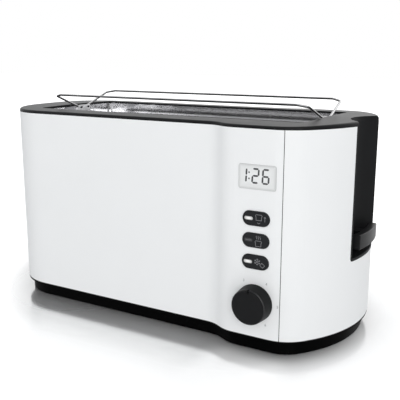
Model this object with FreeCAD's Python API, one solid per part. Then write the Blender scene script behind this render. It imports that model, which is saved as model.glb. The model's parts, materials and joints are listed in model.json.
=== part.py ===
import FreeCAD, Part
import math
import os

# Long slot toaster: two long slots side by side, controls on the front, lever in the right end.
# X runs along the slots, the front faces -Y and the floor is z = 0. The pieces are drawn round the
# middle of the body's plan outline, and in the end all move together, so that the origin is the
# middle of the whole toaster's box, with knob and lever. All sizes are millimetres. At rest the
# lever is down and the rack is up.

# Body outline seen from above
body_length = 374.7
slim_depth = 160.9             # long left part, in front of which only the slots lie
panel_depth = 179.5            # wider right part, which carries the controls
left_end_radius = 583.2
left_corner_radius = 53.2
right_end_radius = 117.6
right_corner_radius = 35.1
step_length = 31.5             # soft S-shaped step from the slim part to the wide part
step_to_right_end = 90.0
seam_to_right_end = 46.0

# Heights
foot_height = 1.5
plinth_height = 13.2
shell_height = 181.0
band_height = 2.6              # upright black edge of the top plate
crown_height = 1.6             # rise of the top plate from its edge to the middle
rim_round = 2.3                # rounding of the top plate's outer edge

# Walls and clearances
sleeve_wall = 1.0
cover_wall = 2.2
hem_width = 7.0                # inward hem under the sleeve and the end cover
seam_gap = 0.5
tongue_length = 3.5
tongue_wall = 1.5
sheet = 1.0                    # steel sheet of chassis, liner and reflectors
fit = 0.1                      # parts that are pushed together
slide_gap = 0.3                # faces of two bodies that pass each other
running = 0.05                 # radial clearance of pins and shafts
proud = 0.2                    # how far a rim stands out of the skin round it
over = 1.0                     # how far a cutter runs past the face that it cuts
sunk = 0.5                     # how far a fused part reaches into its neighbour
hair = 0.01                    # tolerance for picking edges by their place

# Plinth and crumb tray
plinth_inset = 5.0
flange_inset = 0.2             # thin flange right under the shell
flange_sheet = 1.5
plinth_wall = 2.2
plinth_floor = 2.2
shoulder_height = 2.5
lip_height = 5.5
lip_wall = 1.8
tray_half_width = 60.0
tray_wall = 0.8
tray_depth = 7.6
tray_rib = 0.8                 # low ribs that the tray slides on
tray_rib_half = 1.0
tray_rib_inset = 8.0
tray_rib_start = 14.0
tray_cheek_start = 24.0
tray_cheek_to_foot = 2.0
tray_grip_reach = 1.6
tray_grip_height = 2.0
tray_grip_half = 20.0
foot_radius = 8.5
foot_taper = 1.0
foot_spread = 112.0            # front foot to rear foot
foot_to_end = 34.0
vent_length = 26.0
vent_width = 3.0
vent_pitch = 9.0
vent_count = 6
vents_to_middle = 75.0         # middle of a row of vents from the middle of the body
base_screw_inset = 1.5         # from the end plates' long edges
base_screw_past = 2.0

# Opening in the top plate and the steel liner in it
opening_to_left_end = 39.5
opening_to_right_end = 41.5
opening_width = 115.4
opening_corner = 5.0
rim_thickness = 2.0            # black rim that shows above the bright liner wall
rim_ledge = 6.0
liner_lip_gap = 1.0
liner_reveal = 0.2
liner_depth = 9.3
slot_to_left_wall = 10.9
slot_to_right_wall = 5.9
slot_width = 38.0
slot_spacing = 60.0            # middle of the front slot to middle of the rear slot
slot_lip_height = 5.0
slot_lip_sheet = 0.8
slot_corner = 3.0
skirt_inset = 3.0
skirt_wall = 2.0
skirt_height = 7.0

# Warming rack
wire_radius = 1.15
pivot_half_spacing = 5.8
pivot_above_liner = 9.1
rail_reach = 43.4              # pivot axis to long run
rail_rise = 21.1               # degrees above level when it is up
corner_run = 9.0               # each corner is cut off by a short slant: its start on the long run
corner_leg = 5.0               # and its end on the leg, both from the corner
rail_bend = 3.0
pin_bend = 2.4
rail_splay = 1.6               # how far a leg leans inward from its pin to the long run
rail_right_leg_to_wall = 1.5
rail_left_leg_to_slot = 3.5
bracket_thickness = 1.2
bracket_gap = 0.9
bracket_half_width = 9.6
bracket_foot = 9.0
bracket_base = 4.0
bracket_crest = 2.3
pin_past_bracket = 1.0

# Lever channel in the right end
channel_half_width = 30.4
channel_depth = 15.0
channel_wall = 2.0
channel_rim = 2.2
channel_bottom = 77.3
channel_floor = 2.6
channel_corner = 3.0
stem_slot_half = 3.4
stem_slot_corner = 1.7

# Lever, carriage and travel
lever_to_shell_top = 15.2      # grip in its upper place to the shell's upper edge
lever_bottom = 87.3
lever_height = 13.2
lever_half_width = 25.5
lever_reach = 3.8              # how far its crest stands out past the body's right end
lever_thickness = 7.0
lever_back_gap = 3.5
lever_edge = 0.9
hub_half_width = 5.0
hub_margin = 1.6
stem_half = 1.5
stem_margin = 2.6
carriage_gap = 8.5             # right chassis plate to carriage plate
carriage_sheet = 1.5
carriage_half_width = 33.0
carriage_bottom = 48.0
carriage_height = 52.0
carriage_corner = 4.0
carriage_window_place = 22.0
carriage_window_half = 4.0
carriage_window_margin = 8.0
carriage_window_corner = 3.0
rod_radius = 3.0
rod_half_spacing = 12.0
rod_offset = 5.2               # carriage plate to rod axis
rod_past = 1.0
bush_half_width = 5.5
bush_reach = 9.6
bush_margin = 4.0
bush_top_gap = 2.0
bush_corner = 1.5
spring_radius = 3.4
spring_wall = 1.1
spring_half_spacing = 24.0
ear_height = 8.0
ear_sheet = 1.2
bracket_top_gap = 4.4
bracket_sheet = 1.2
bracket_flange = 11.0
bracket_flange_half = 8.5
bracket_margin = 1.5
armature_height = 2.5
armature_gap = 0.4
armature_half = 8.0
armature_step = 0.5            # the plate is that much narrower than its tab
armature_place = 4.0
magnet_height = 19.0
magnet_half = 7.0
magnet_depth = 15.0
yoke_sheet = 1.5
yoke_base = 3.0
yoke_to_face = 4.0
coil_inset = 1.0
coil_offset = 1.0
coil_to_face = 3.0
lifter_top = 60.0
lifter_half_width = 7.5
lifter_sheet = 1.2
lifter_neck_half = 1.0
lifter_neck_height = 10.0
lifter_end_gap = 3.0
neck_slot_half = 2.2
neck_end_gap = 1.5
tooth_count = 9
tooth_height = 3.0
tooth_length = 6.0

# Chassis, heaters and bread guides
chassis_half_width = 66.0
chassis_past_slot = 1.0
chassis_flange = 10.0
chassis_flange_past = 2.0
tray_gate_gap = 1.0
reflector_inset = 3.5
reflector_bottom = 24.0
reflector_flange = 3.0
heater_sheet = 0.6
heater_half_place = 55.5       # middle of the outer heater cards from the mid plane
heater_bottom = 46.0
heater_top_gap = 12.9
heater_tab = 16.0
heater_tab_reach = 2.0
ribbon_count = 16
ribbon_width = 1.8
ribbon_thickness = 0.25
ribbon_margin = 5.0
guide_rest = 12.5              # bread guide from the slot's middle, lever down
guide_travel = 5.0
guide_bar = 2.5
guide_wire_radius = 0.9
guide_wire_count = 12
guide_bottom = 37.0
guide_top_gap = 0.5            # guide to the liner's turned lips
guide_end_gap = 3.0
guide_tab_past = 2.0
guide_slot_gap = 0.5

# Controls on the front panel, seen from the front
controls_to_right_end = 68.75
panel_bow = 0.4                # how far the skin bends back beside the right edge of the controls
display_width = 34.2
display_height = 20.9
display_corner = 2.0
display_middle = 156.0
display_flange = 1.0
display_pane = 2.0
module_side = 0.5
module_rim = 2.5
button_width = 24.9
button_height = 12.6
button_pitch = 18.9
buttons_middle = 102.1
button_gap = 0.2
button_proud = 1.3
button_back = 5.75             # panel face to the back of a button
button_flange = 1.2
button_flange_sheet = 1.2
button_travel = 0.8
button_crown = 0.35
button_edge = 0.6
lamp_width = 8.0
lamp_height = 3.0
lamp_offset = 6.5
knob_middle = 46.7
knob_base_radius = 16.7
knob_face_radius = 15.7
knob_height = 13.0
knob_gap = 0.6
knob_wall = 2.2
knob_bore_end = 1.0
knob_hub_radius = 5.5
knob_edge = 1.1
knob_dish = 0.6
pointer_width = 1.8
pointer_depth = 0.6
pointer_start = 12.4
shaft_radius = 3.0
shaft_hole_gap = 0.6
board_place = 10.75            # panel face to the front of the control board
board_thickness = 1.6
board_width = 34.0
board_bottom = 32.0
board_top = 169.0
switch_size = 6.0
switch_height = 3.4
switch_plunger_radius = 1.6
plunger_gap = 0.2
pot_radius = 8.0
pot_depth = 5.0
pot_bush_radius = 4.5
pot_bush_gap = 0.6
pot_bore_end = 1.5
carrier_width = 33.0
carrier_margin = 3.4
carrier_corner = 2.0
screw_radius = 1.4
screw_head_radius = 2.7
screw_head_height = 1.4
board_screw_inset = 2.9
board_screw_reach = 5.0

# Power board and cord gland at the back of the right end
power_board_low = 36.0
power_board_high = 63.0
power_board_bottom = 52.0
power_board_top = 150.0
power_board_gap = 4.0
relay_size = 12.0
relay_length = 19.2
relay_depth = 9.0
relay_bottom = 20.0
terminal_count = 3
terminal_pitch = 14.0
terminal_half = 4.0
terminal_length = 9.0
terminal_depth = 6.0
board_foot_radius = 2.2
board_foot_inset = 4.0
gland_to_right_end = 72.0
gland_height = 34.0
gland_bore_radius = 3.4
gland_body_radius = 5.6
gland_flange_radius = 8.5
gland_flange_thickness = 2.4
gland_length = 14.0
gland_round = 1.0
gland_collar_step = 1.0
gland_collar_sheet = 2.0

V = FreeCAD.Vector
FAR = 1000.0

# Places worked out from the driving sizes
left_end = -body_length / 2
right_end = body_length / 2
step_start = right_end - step_to_right_end - step_length
seam_x = right_end - seam_to_right_end
plinth_z = foot_height
floor_z = plinth_z + plinth_floor
shell_z = plinth_z + plinth_height
top_z = shell_z + shell_height
band_z = top_z + band_height
crown_z = band_z + crown_height
opening_x0 = left_end + opening_to_left_end
opening_x1 = right_end - opening_to_right_end
crown_radius = (panel_depth ** 2 / 4 + crown_height ** 2) / (2 * crown_height)


def crown_at(y):
    """Height of the crowned top surface at a distance from the mid plane."""
    return crown_z - crown_radius + math.sqrt(crown_radius ** 2 - y ** 2)


ledge_z = crown_at(opening_width / 2) - rim_thickness
liner_z = ledge_z - liner_depth
liner_wall_y = opening_width / 2 + liner_reveal
liner_x0 = opening_x0 - liner_reveal
liner_x1 = opening_x1 + liner_reveal
slot_x1 = opening_x1 - slot_to_right_wall
slot_x0 = opening_x0 + slot_to_left_wall
slot_y = slot_spacing / 2
chassis_left_x = slot_x0 - chassis_past_slot - sheet
chassis_right_x = slot_x1 + chassis_past_slot
chassis_top = liner_z - sheet
lever_travel = top_z - lever_to_shell_top - lever_height - lever_bottom
heater_top = chassis_top - heater_top_gap
carriage_x = chassis_right_x + sheet + carriage_gap
rod_x = carriage_x + carriage_sheet + rod_offset
top_bracket_z = carriage_bottom + carriage_height + lever_travel + bracket_top_gap
panel_y = -panel_depth / 2
panel_inside = panel_y + sleeve_wall + panel_bow
controls_x = right_end - controls_to_right_end
board_y = panel_y + board_place
carrier_height = 2 * button_pitch + button_height + 2 * button_flange + 2 * carrier_margin
carrier_top = buttons_middle + carrier_height / 2
module_bottom = display_middle - display_height / 2 - module_rim
board_upper_screw = (carrier_top + module_bottom) / 2
flange_z = shell_z - flange_sheet
lever_face_radius = right_end_radius + lever_reach
tray_z = floor_z + tray_rib + fit
tray_window_half = tray_half_width + slide_gap + tray_wall
tray_x1 = chassis_right_x - slide_gap - sheet
middle_x = lever_reach / 2
middle_y = (gland_flange_thickness - knob_gap - knob_height) / 2


def block(x, y, z):
    """Box between two corners, each argument a (low, high) pair."""
    return Part.makeBox(x[1] - x[0], y[1] - y[0], z[1] - z[0], V(x[0], y[0], z[0]))


def pin_z(radius, x, y, z):
    return Part.makeCylinder(radius, z[1] - z[0], V(x, y, z[0]), V(0, 0, 1))


def pin_y(radius, x, z, y):
    return Part.makeCylinder(radius, y[1] - y[0], V(x, y[0], z), V(0, 1, 0))


def pin_x(radius, y, z, x):
    return Part.makeCylinder(radius, x[1] - x[0], V(x[0], y, z), V(1, 0, 0))


def join(shapes):
    """Fuse a list of shapes into one clean solid."""
    whole = shapes[0].multiFuse(shapes[1:]) if len(shapes) > 1 else shapes[0]
    return whole.removeSplitter()


def soften(shape, direction, radius):
    """Round the straight edges of a block that run along one direction."""
    edges = []
    for edge in shape.Edges:
        along = edge.Vertexes[-1].Point - edge.Vertexes[0].Point
        if along.Length > 0 and abs(along.normalize().dot(direction)) > 0.999:
            edges.append(edge)
    return shape.makeFillet(radius, edges)


def mirror_y(shape):
    return shape.mirror(V(0, 0, 0), V(0, 1, 0))


def arc(centre, radius, start, end):
    """Arc in plan between two angles in degrees."""
    points = []
    for angle in (start, (start + end) / 2, end):
        turn = math.radians(angle)
        points.append(centre + V(radius * math.cos(turn), radius * math.sin(turn), 0))
    return Part.Arc(*points).toShape()


def bent(points, radii):
    """Wire through the points with each inner corner rounded by its radius."""
    edges = []
    start = points[0]
    for number, radius in enumerate(radii):
        corner = points[number + 1]
        back = (points[number] - corner).normalize()
        ahead = (points[number + 2] - corner).normalize()
        half = back.getAngle(ahead) / 2
        first = corner + back * (radius / math.tan(half))
        last = corner + ahead * (radius / math.tan(half))
        middle = corner + (back + ahead).normalize() * (radius / math.sin(half) - radius)
        edges.append(Part.makeLine(start, first))
        edges.append(Part.Arc(first, middle, last).toShape())
        start = last
    edges.append(Part.makeLine(start, points[-1]))
    return Part.Wire(edges)


def end_arcs(tip, side, half, end_radius, corner_radius, inset):
    """Corner arc and end arc of one end on the front side; side is -1 left, 1 right."""
    middle = V(tip - side * end_radius, 0, 0)
    run = math.sqrt((end_radius - corner_radius) ** 2 - (half - corner_radius) ** 2)
    corner = middle + V(side * run, corner_radius - half, 0)
    lean = math.degrees(math.atan2(corner_radius - half, side * run))
    tip_angle = 0 if side > 0 else -180
    if side > 0:
        parts = [arc(corner, corner_radius - inset, -90, lean)]
        parts.append(arc(middle, end_radius - inset, lean, tip_angle))
    else:
        parts = [arc(middle, end_radius - inset, tip_angle, lean)]
        parts.append(arc(corner, corner_radius - inset, lean, -90))
    return parts


def outline(inset):
    """Closed wire of the body's plan, moved inward by the inset."""
    slim = slim_depth / 2
    wide = panel_depth / 2
    bend = 2 * math.atan2(wide - slim, step_length)
    step_radius = step_length / (2 * math.sin(bend))
    turn = math.degrees(bend)
    left = end_arcs(left_end, -1, slim, left_end_radius, left_corner_radius, inset)
    right = end_arcs(right_end, 1, wide, right_end_radius, right_corner_radius, inset)
    out_bend = arc(V(step_start, -slim - step_radius, 0), step_radius + inset, 90, 90 - turn)
    in_middle = V(step_start + step_length, step_radius - wide, 0)
    in_bend = arc(in_middle, step_radius - inset, -90 - turn, -90)
    long_run = Part.makeLine(left[1].Vertexes[-1].Point, out_bend.Vertexes[0].Point)
    panel_run = Part.makeLine(in_bend.Vertexes[-1].Point, right[0].Vertexes[0].Point)
    front = left + [long_run, out_bend, in_bend, panel_run] + right
    back = [mirror_y(edge) for edge in front]
    return Part.Wire(Part.__sortEdges__(front + back))


def plate(inset, z):
    """Slab of the body's plan between two heights."""
    face = Part.Face(outline(inset))
    face.translate(V(0, 0, z[0]))
    return face.extrude(V(0, 0, z[1] - z[0]))


def ring(outer, inner, z):
    """Upright wall that follows the body's plan between two insets."""
    return plate(outer, z).cut(plate(inner, (z[0] - over, z[1] + over)))


def left_of(x):
    return block((-FAR, x), (-FAR, FAR), (-FAR, FAR))


def right_of(x):
    return block((x, FAR), (-FAR, FAR), (-FAR, FAR))


def pill(width, height, x, z, y):
    """Prism along Y with round ends, centred at (x, z)."""
    half = (width - height) / 2
    radius = height / 2
    corners = [V(x - half, y[0], z - radius), V(x + half, y[0], z - radius)]
    corners += [V(x + half, y[0], z + radius), V(x - half, y[0], z + radius)]
    low = Part.makeLine(corners[0], corners[1])
    right = Part.Arc(corners[1], V(x + half + radius, y[0], z), corners[2]).toShape()
    high = Part.makeLine(corners[2], corners[3])
    left = Part.Arc(corners[3], V(x - half - radius, y[0], z), corners[0]).toShape()
    return Part.Face(Part.Wire([low, right, high, left])).extrude(V(0, y[1] - y[0], 0))


def panel_block(width, height, corner, z, y):
    """Upright block with rounded corners, centred on the column of controls."""
    x = (controls_x - width / 2, controls_x + width / 2)
    return soften(block(x, y, (z - height / 2, z + height / 2)), V(0, 1, 0), corner)


def button_heights():
    return [buttons_middle + button_pitch, buttons_middle, buttons_middle - button_pitch]


# Scoop of the lever channel: a round-bottomed recess in plan
def skin_x(y, inset):
    """Where the body's right end lies at a distance from the mid plane."""
    radius = right_end_radius - inset
    return right_end - right_end_radius + math.sqrt(radius ** 2 - y ** 2)


scoop_radius = (channel_half_width ** 2 + channel_depth ** 2) / (2 * channel_depth)
scoop_x = skin_x(channel_half_width, 0) - channel_depth + scoop_radius
lever_hole_half = channel_half_width + channel_rim


def scoop(extra, z):
    return pin_z(scoop_radius + extra, scoop_x, 0, z)


# Outer pieces
def main_sleeve():
    wall = ring(0, sleeve_wall, (shell_z, top_z))
    hem = ring(0, hem_width, (shell_z, shell_z + sleeve_wall))
    sleeve = join([wall, hem]).common(left_of(seam_x - seam_gap / 2))
    depth = (panel_y - over, panel_y + sleeve_wall + over)
    holes = [panel_block(display_width + 2 * fit, display_height + 2 * fit,
                         display_corner + fit, display_middle, depth)]
    for z in button_heights():
        holes.append(pill(button_width + 2 * button_gap, button_height + 2 * button_gap,
                          controls_x, z, depth))
    holes.append(pin_y(shaft_radius + shaft_hole_gap, controls_x, knob_middle, depth))
    rear = (-panel_y - sleeve_wall - over, -panel_y + over)
    holes.append(pin_y(gland_body_radius + fit, right_end - gland_to_right_end, gland_height, rear))
    return sleeve.cut(holes)


def end_cover():
    wall = ring(0, cover_wall, (shell_z, top_z))
    hem = ring(0, hem_width, (shell_z, shell_z + cover_wall))
    cover = join([wall, hem]).common(right_of(seam_x + seam_gap / 2))
    inset = sleeve_wall + fit
    tongue = ring(inset, inset + tongue_wall, (shell_z + cover_wall, top_z))
    tongue = tongue.common(right_of(seam_x - tongue_length)).common(left_of(seam_x + cover_wall))
    half = lever_hole_half
    hole = block((seam_x, FAR), (-half, half), (channel_bottom, FAR))
    return join([cover, tongue]).cut(soften(hole, V(1, 0, 0), channel_corner))


def top_plate():
    slab = plate(0, (top_z, crown_z + over))
    dome = pin_x(crown_radius, 0, crown_z - crown_radius, (-FAR, FAR))
    slab = slab.common(dome)
    edges = [edge for edge in slab.Edges if edge.BoundBox.ZMin > top_z + band_height / 2]
    slab = slab.makeFillet(rim_round, edges)
    skirt = ring(skirt_inset, skirt_inset + skirt_wall, (top_z - skirt_height, top_z))
    whole = slab.fuse(skirt)
    y = (-opening_width / 2, opening_width / 2)
    hole = soften(block((opening_x0, opening_x1), y, (0, FAR)), V(0, 0, 1), opening_corner)
    ledge_x = (opening_x0 - rim_ledge, opening_x1 + rim_ledge)
    ledge_y = (y[0] - rim_ledge, y[1] + rim_ledge)
    ledge = block(ledge_x, ledge_y, (top_z - over, ledge_z))
    ledge = soften(ledge, V(0, 0, 1), opening_corner + rim_ledge)
    notch = scoop(0, (0, FAR))
    relief = scoop(channel_wall + fit, (0, top_z))
    return whole.cut([hole, ledge, notch, relief])


def lever_channel():
    z = (channel_bottom + fit, top_z)
    half = lever_hole_half - fit
    body = soften(block((seam_x, FAR), (-half, half), (z[0], FAR)), V(1, 0, 0), channel_corner)
    body = body.common(plate(-proud, z)).common(scoop(channel_wall, z))
    body = body.cut(scoop(0, (channel_bottom + channel_floor, FAR)))
    stem_z = (lever_bottom, lever_bottom + lever_height + lever_travel)
    slot = block((seam_x, scoop_x), (-stem_slot_half, stem_slot_half), stem_z)
    return body.cut(soften(slot, V(1, 0, 0), stem_slot_corner))


def vent_holes():
    """Rows of air slots through the floor under the two slots."""
    holes = []
    for side in (-1, 1):
        for row in (-1, 1):
            for number in range(vent_count):
                x = row * vents_to_middle + (number - (vent_count - 1) / 2) * vent_pitch
                y = side * slot_y
                hole = block((x - vent_width / 2, x + vent_width / 2),
                             (y - vent_length / 2, y + vent_length / 2), (plinth_z - over, floor_z + over))
                holes.append(hole)
    return holes


def tray_window():
    """Way out for the crumb tray through the left end of the plinth."""
    half = tray_window_half
    return block((-FAR, 0), (-half, half), (floor_z, flange_z))


def base_screw_places():
    places = []
    for x in (chassis_left_x - chassis_flange / 2, chassis_right_x + sheet + chassis_flange / 2):
        for side in (-1, 1):
            places.append((x, side * (chassis_half_width - base_screw_inset)))
    return places


def base_plinth():
    wall = ring(plinth_inset, plinth_inset + plinth_wall, (plinth_z, shell_z))
    shoulder = ring(plinth_inset, hem_width + fit + lip_wall, (shell_z - shoulder_height, shell_z))
    flange = ring(flange_inset, hem_width + fit + lip_wall, (flange_z, shell_z))
    lip = ring(hem_width + fit, hem_width + fit + lip_wall,
               (shell_z - shoulder_height, shell_z + lip_height))
    floor = plate(plinth_inset, (plinth_z, floor_z))
    whole = join([wall, shoulder, flange, lip, floor])
    whole = whole.cut([tray_window()] + vent_holes())
    ribs = []
    for side in (-1, 1):
        y = side * (tray_half_width - tray_rib_inset)
        ribs.append(block((left_end + tray_rib_start, tray_x1), (y - tray_rib_half, y + tray_rib_half),
                          (floor_z, floor_z + tray_rib)))
        cheek = sorted((side * (tray_half_width + slide_gap), side * tray_window_half))
        cheek_end = chassis_left_x - chassis_flange - tray_cheek_to_foot
        ribs.append(block((left_end + tray_cheek_start, cheek_end), cheek, (floor_z, floor_z + tray_depth)))
    whole = join([whole] + ribs)
    holes = []
    for x, y in base_screw_places():
        head_z = (plinth_z - over, plinth_z + screw_head_height)
        holes.append(pin_z(screw_radius, x, y, (plinth_z - over, floor_z + over)))
        holes.append(pin_z(screw_head_radius + fit, x, y, head_z))
    return whole.cut(holes)


def base_screws():
    solids = []
    for x, y in base_screw_places():
        head = pin_z(screw_head_radius, x, y, (plinth_z, plinth_z + screw_head_height))
        shank = pin_z(screw_radius, x, y, (plinth_z, floor_z + sheet + base_screw_past))
        solids.append(head.fuse(shank).removeSplitter())
    return Part.makeCompound(solids)


def feet():
    solids = []
    for x in (left_end + foot_to_end, right_end - foot_to_end):
        for y in (-foot_spread / 2, foot_spread / 2):
            foot = Part.makeCone(foot_radius - foot_taper, foot_radius, foot_height, V(x, y, 0), V(0, 0, 1))
            solids.append(foot)
    return Part.makeCompound(solids)


def crumb_tray():
    """Sheet tray whose front end follows the curve of the plinth."""
    inset = plinth_inset + plinth_wall
    y = (-tray_half_width, tray_half_width)
    outer = block((-FAR, tray_x1), y, (tray_z, tray_z + tray_depth))
    inner_y = (y[0] + tray_wall, y[1] - tray_wall)
    inner = block((-FAR, tray_x1 - tray_wall), inner_y, (tray_z + tray_wall, FAR))
    outer = outer.common(plate(inset, (0, shell_z)))
    return outer.cut(inner.common(plate(inset + tray_wall, (0, shell_z))))


def crumb_tray_front():
    """Black front that closes the plinth's window, with a low lip to pull it by."""
    half = tray_half_width + tray_wall
    z = (tray_z, flange_z - slide_gap)
    front = ring(plinth_inset, plinth_inset + plinth_wall, z)
    front = front.common(block((-FAR, 0), (-half, half), z))
    lip_z = (tray_z, tray_z + tray_grip_height)
    lip = ring(plinth_inset - tray_grip_reach, plinth_inset + over, lip_z)
    lip = lip.common(block((-FAR, 0), (-tray_grip_half, tray_grip_half), lip_z))
    return front.fuse(lip).removeSplitter()


# Steel parts at the top
def slot_hole(side, z, extra):
    y = side * slot_y
    half = slot_width / 2 + extra
    hole = block((slot_x0 - extra, slot_x1 + extra), (y - half, y + half), z)
    return soften(hole, V(0, 0, 1), slot_corner + extra)


def slot_liner():
    x = (liner_x0, liner_x1)
    y = (-liner_wall_y, liner_wall_y)
    outer = block((x[0] - sheet, x[1] + sheet), (y[0] - sheet, y[1] + sheet), (liner_z - sheet, ledge_z))
    inner = block(x, y, (liner_z, FAR))
    pan = soften(outer, V(0, 0, 1), opening_corner + liner_reveal + sheet)
    reach = rim_ledge - liner_lip_gap - liner_reveal
    lip = block((x[0] - reach, x[1] + reach), (y[0] - reach, y[1] + reach), (ledge_z - sheet, ledge_z))
    pan = pan.fuse(soften(lip, V(0, 0, 1), opening_corner + rim_ledge - liner_lip_gap))
    lips = []
    holes = [soften(inner, V(0, 0, 1), opening_corner + liner_reveal)]
    for side in (-1, 1):
        z = (liner_z - sheet - slot_lip_height, liner_z)
        lips.append(slot_hole(side, z, slot_lip_sheet))
        holes.append(slot_hole(side, (0, FAR), 0))
    return join([pan] + lips).cut(holes)


def rack_bracket(x, side):
    """Upright ear on the bridge between the slots; side says where its foot points."""
    z = (liner_z, liner_z + pivot_above_liner + bracket_crest)
    half = bracket_half_width
    ear = block((x, x + bracket_thickness), (-half, half), z)
    ear = soften(ear, V(1, 0, 0), bracket_crest)
    ear = ear.fuse(block((x, x + bracket_thickness), (-half, half), (liner_z, liner_z + bracket_base)))
    foot_x = (x - bracket_foot, x + sunk) if side < 0 else (x + sunk, x + bracket_thickness + bracket_foot)
    foot = block(foot_x, (-half, half), (liner_z, liner_z + bracket_thickness))
    bracket = ear.fuse(foot).removeSplitter()
    bores = []
    for y in (-pivot_half_spacing, pivot_half_spacing):
        across = (x - over, x + bracket_thickness + over)
        bores.append(pin_x(wire_radius + running, y, liner_z + pivot_above_liner, across))
    return bracket.cut(bores)


rail_right_x = opening_x1 - rail_right_leg_to_wall
rail_left_x = slot_x0 - rail_left_leg_to_slot
bracket_right_x = rail_right_x - wire_radius - bracket_gap - bracket_thickness
bracket_left_x = rail_left_x + wire_radius + bracket_gap


def rack_rail():
    """Rear wire rail: pins, legs and long run bent from one wire, drawn level and then raised."""
    start = bracket_left_x + bracket_thickness + pin_past_bracket
    end = bracket_right_x - pin_past_bracket
    leg = V(rail_splay, rail_reach, 0).normalize() * corner_leg
    left = V(rail_left_x + rail_splay, rail_reach, 0)
    right = V(rail_right_x - rail_splay, rail_reach, 0)
    points = [V(start, 0, 0), V(rail_left_x, 0, 0), left - leg, left + V(corner_run, 0, 0)]
    points += [right - V(corner_run, 0, 0), right - V(-leg.x, leg.y, 0), V(rail_right_x, 0, 0), V(end, 0, 0)]
    path = bent(points, (pin_bend, rail_bend, rail_bend, rail_bend, rail_bend, pin_bend))
    section = Part.Wire([Part.makeCircle(wire_radius, points[0], V(1, 0, 0))])
    rail = path.makePipeShell([section], True, False)
    rail.rotate(V(0, 0, 0), V(1, 0, 0), rail_rise)
    rail.translate(V(0, pivot_half_spacing, liner_z + pivot_above_liner))
    return rail


# Chassis
def lifter_z():
    """Low and high side of the lifter bars' necks."""
    return (lifter_top - lifter_sheet - lifter_neck_height, lifter_top - lifter_sheet)


def guide_heights():
    """Low side of the lower bar and of the upper bar of each bread guide."""
    return (guide_bottom, chassis_top - slot_lip_height - guide_top_gap - guide_bar)


def guide_places():
    """Rest place and opening direction of the four bread guides, from front to rear."""
    places = []
    for slot_side in (-1, 1):
        for side in (-1, 1):
            places.append((slot_side * slot_y + side * guide_rest, side))
    return places


def chassis_holes(x):
    """Slots for lifter necks, guide tabs and heater tabs in one end plate."""
    across = (x - over, x + sheet + over)
    holes = []
    low, high = lifter_z()
    for side in (-1, 1):
        y = side * slot_y
        holes.append(block(across, (y - neck_slot_half, y + neck_slot_half),
                           (low - neck_end_gap, high + lever_travel + neck_end_gap)))
    for y, side in guide_places():
        ends = sorted((y, y + side * guide_travel))
        half = guide_bar / 2 + guide_slot_gap
        for z in guide_heights():
            holes.append(block(across, (ends[0] - half, ends[1] + half),
                               (z - guide_slot_gap, z + guide_bar + guide_slot_gap)))
    for y in heater_places():
        half = heater_sheet / 2 + fit
        for z in heater_tab_heights():
            holes.append(block(across, (y - half, y + half), (z - fit, z + heater_tab + fit)))
    return holes


def chassis_plate(x, side):
    """End plate of the heating chamber with outward feet; side says where the feet point."""
    half = chassis_half_width
    body = block((x, x + sheet), (-half, half), (floor_z, chassis_top))
    foot_x = (x - chassis_flange, x + sheet) if side < 0 else (x, x + sheet + chassis_flange)
    foot_low = tray_window_half
    feet_list = []
    for end in (-1, 1):
        y = sorted((end * foot_low, end * (half + chassis_flange_past)))
        feet_list.append(block(foot_x, y, (floor_z, floor_z + sheet)))
    body = join([body] + feet_list)
    holes = chassis_holes(x)
    if side < 0:
        gate = tray_window_half
        gate_z = (0, tray_z + tray_depth + tray_gate_gap)
        holes.append(block((x - over, x + sheet + over), (-gate, gate), gate_z))
    for place_x, place_y in base_screw_places():
        holes.append(pin_z(screw_radius + fit, place_x, place_y, (0, floor_z + sheet + over)))
    return body.cut(holes)


def reflector():
    """Rear heat reflector between the end plates, bent out at top and bottom."""
    y = chassis_half_width - reflector_inset
    x = (chassis_left_x + sheet, chassis_right_x)
    z = (reflector_bottom, chassis_top)
    sheet_wall = block(x, (y - sheet, y), z)
    low = block(x, (y - sheet, y + reflector_flange), (z[0], z[0] + sheet))
    high = block(x, (y - sheet, y + reflector_flange), (z[1] - sheet, z[1]))
    return join([sheet_wall, low, high])


def heater_places():
    return (-heater_half_place, 0.0, heater_half_place)


def heater_tab_heights():
    high = heater_top - ribbon_margin - heater_tab
    return (heater_bottom + ribbon_margin, high)


def heater_card(y):
    """Mica card that hangs between the end plates by its tabs."""
    x = (chassis_left_x + sheet, chassis_right_x)
    across = (y - heater_sheet / 2, y + heater_sheet / 2)
    card = block(x, across, (heater_bottom, heater_top))
    tabs = []
    for z in heater_tab_heights():
        tab_x = (x[0] - sheet - heater_tab_reach, x[1] + sheet + heater_tab_reach)
        tabs.append(block(tab_x, across, (z, z + heater_tab)))
    return join([card] + tabs)


def heater_ribbon(y):
    """Flat wire wound round a card: upright in front, slanting to the next turn behind."""
    half = heater_sheet / 2
    thick = ribbon_thickness
    low = heater_bottom
    high = heater_top
    first = chassis_left_x + sheet + ribbon_margin
    last = chassis_right_x - ribbon_margin - ribbon_width
    pitch = (last - first) / (ribbon_count - 1)
    runs = []
    for number in range(ribbon_count):
        x = first + number * pitch
        across = (x, x + ribbon_width)
        runs.append(block(across, (y - half - thick, y - half), (low - thick, high + thick)))
        runs.append(block(across, (y - half - thick, y + half + thick), (high, high + thick)))
        if number < ribbon_count - 1:
            corners = [V(x, y + half, high + thick), V(x + ribbon_width, y + half, high + thick)]
            corners.append(V(x + pitch + ribbon_width, y + half, low - thick))
            corners.append(V(x + pitch, y + half, low - thick))
            strip = Part.Face(Part.makePolygon(corners + [corners[0]])).extrude(V(0, thick, 0))
            runs.append(strip)
            next_x = (x + pitch, x + pitch + ribbon_width)
            runs.append(block(next_x, (y - half - thick, y + half + thick), (low - thick, low)))
    return join(runs)


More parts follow.
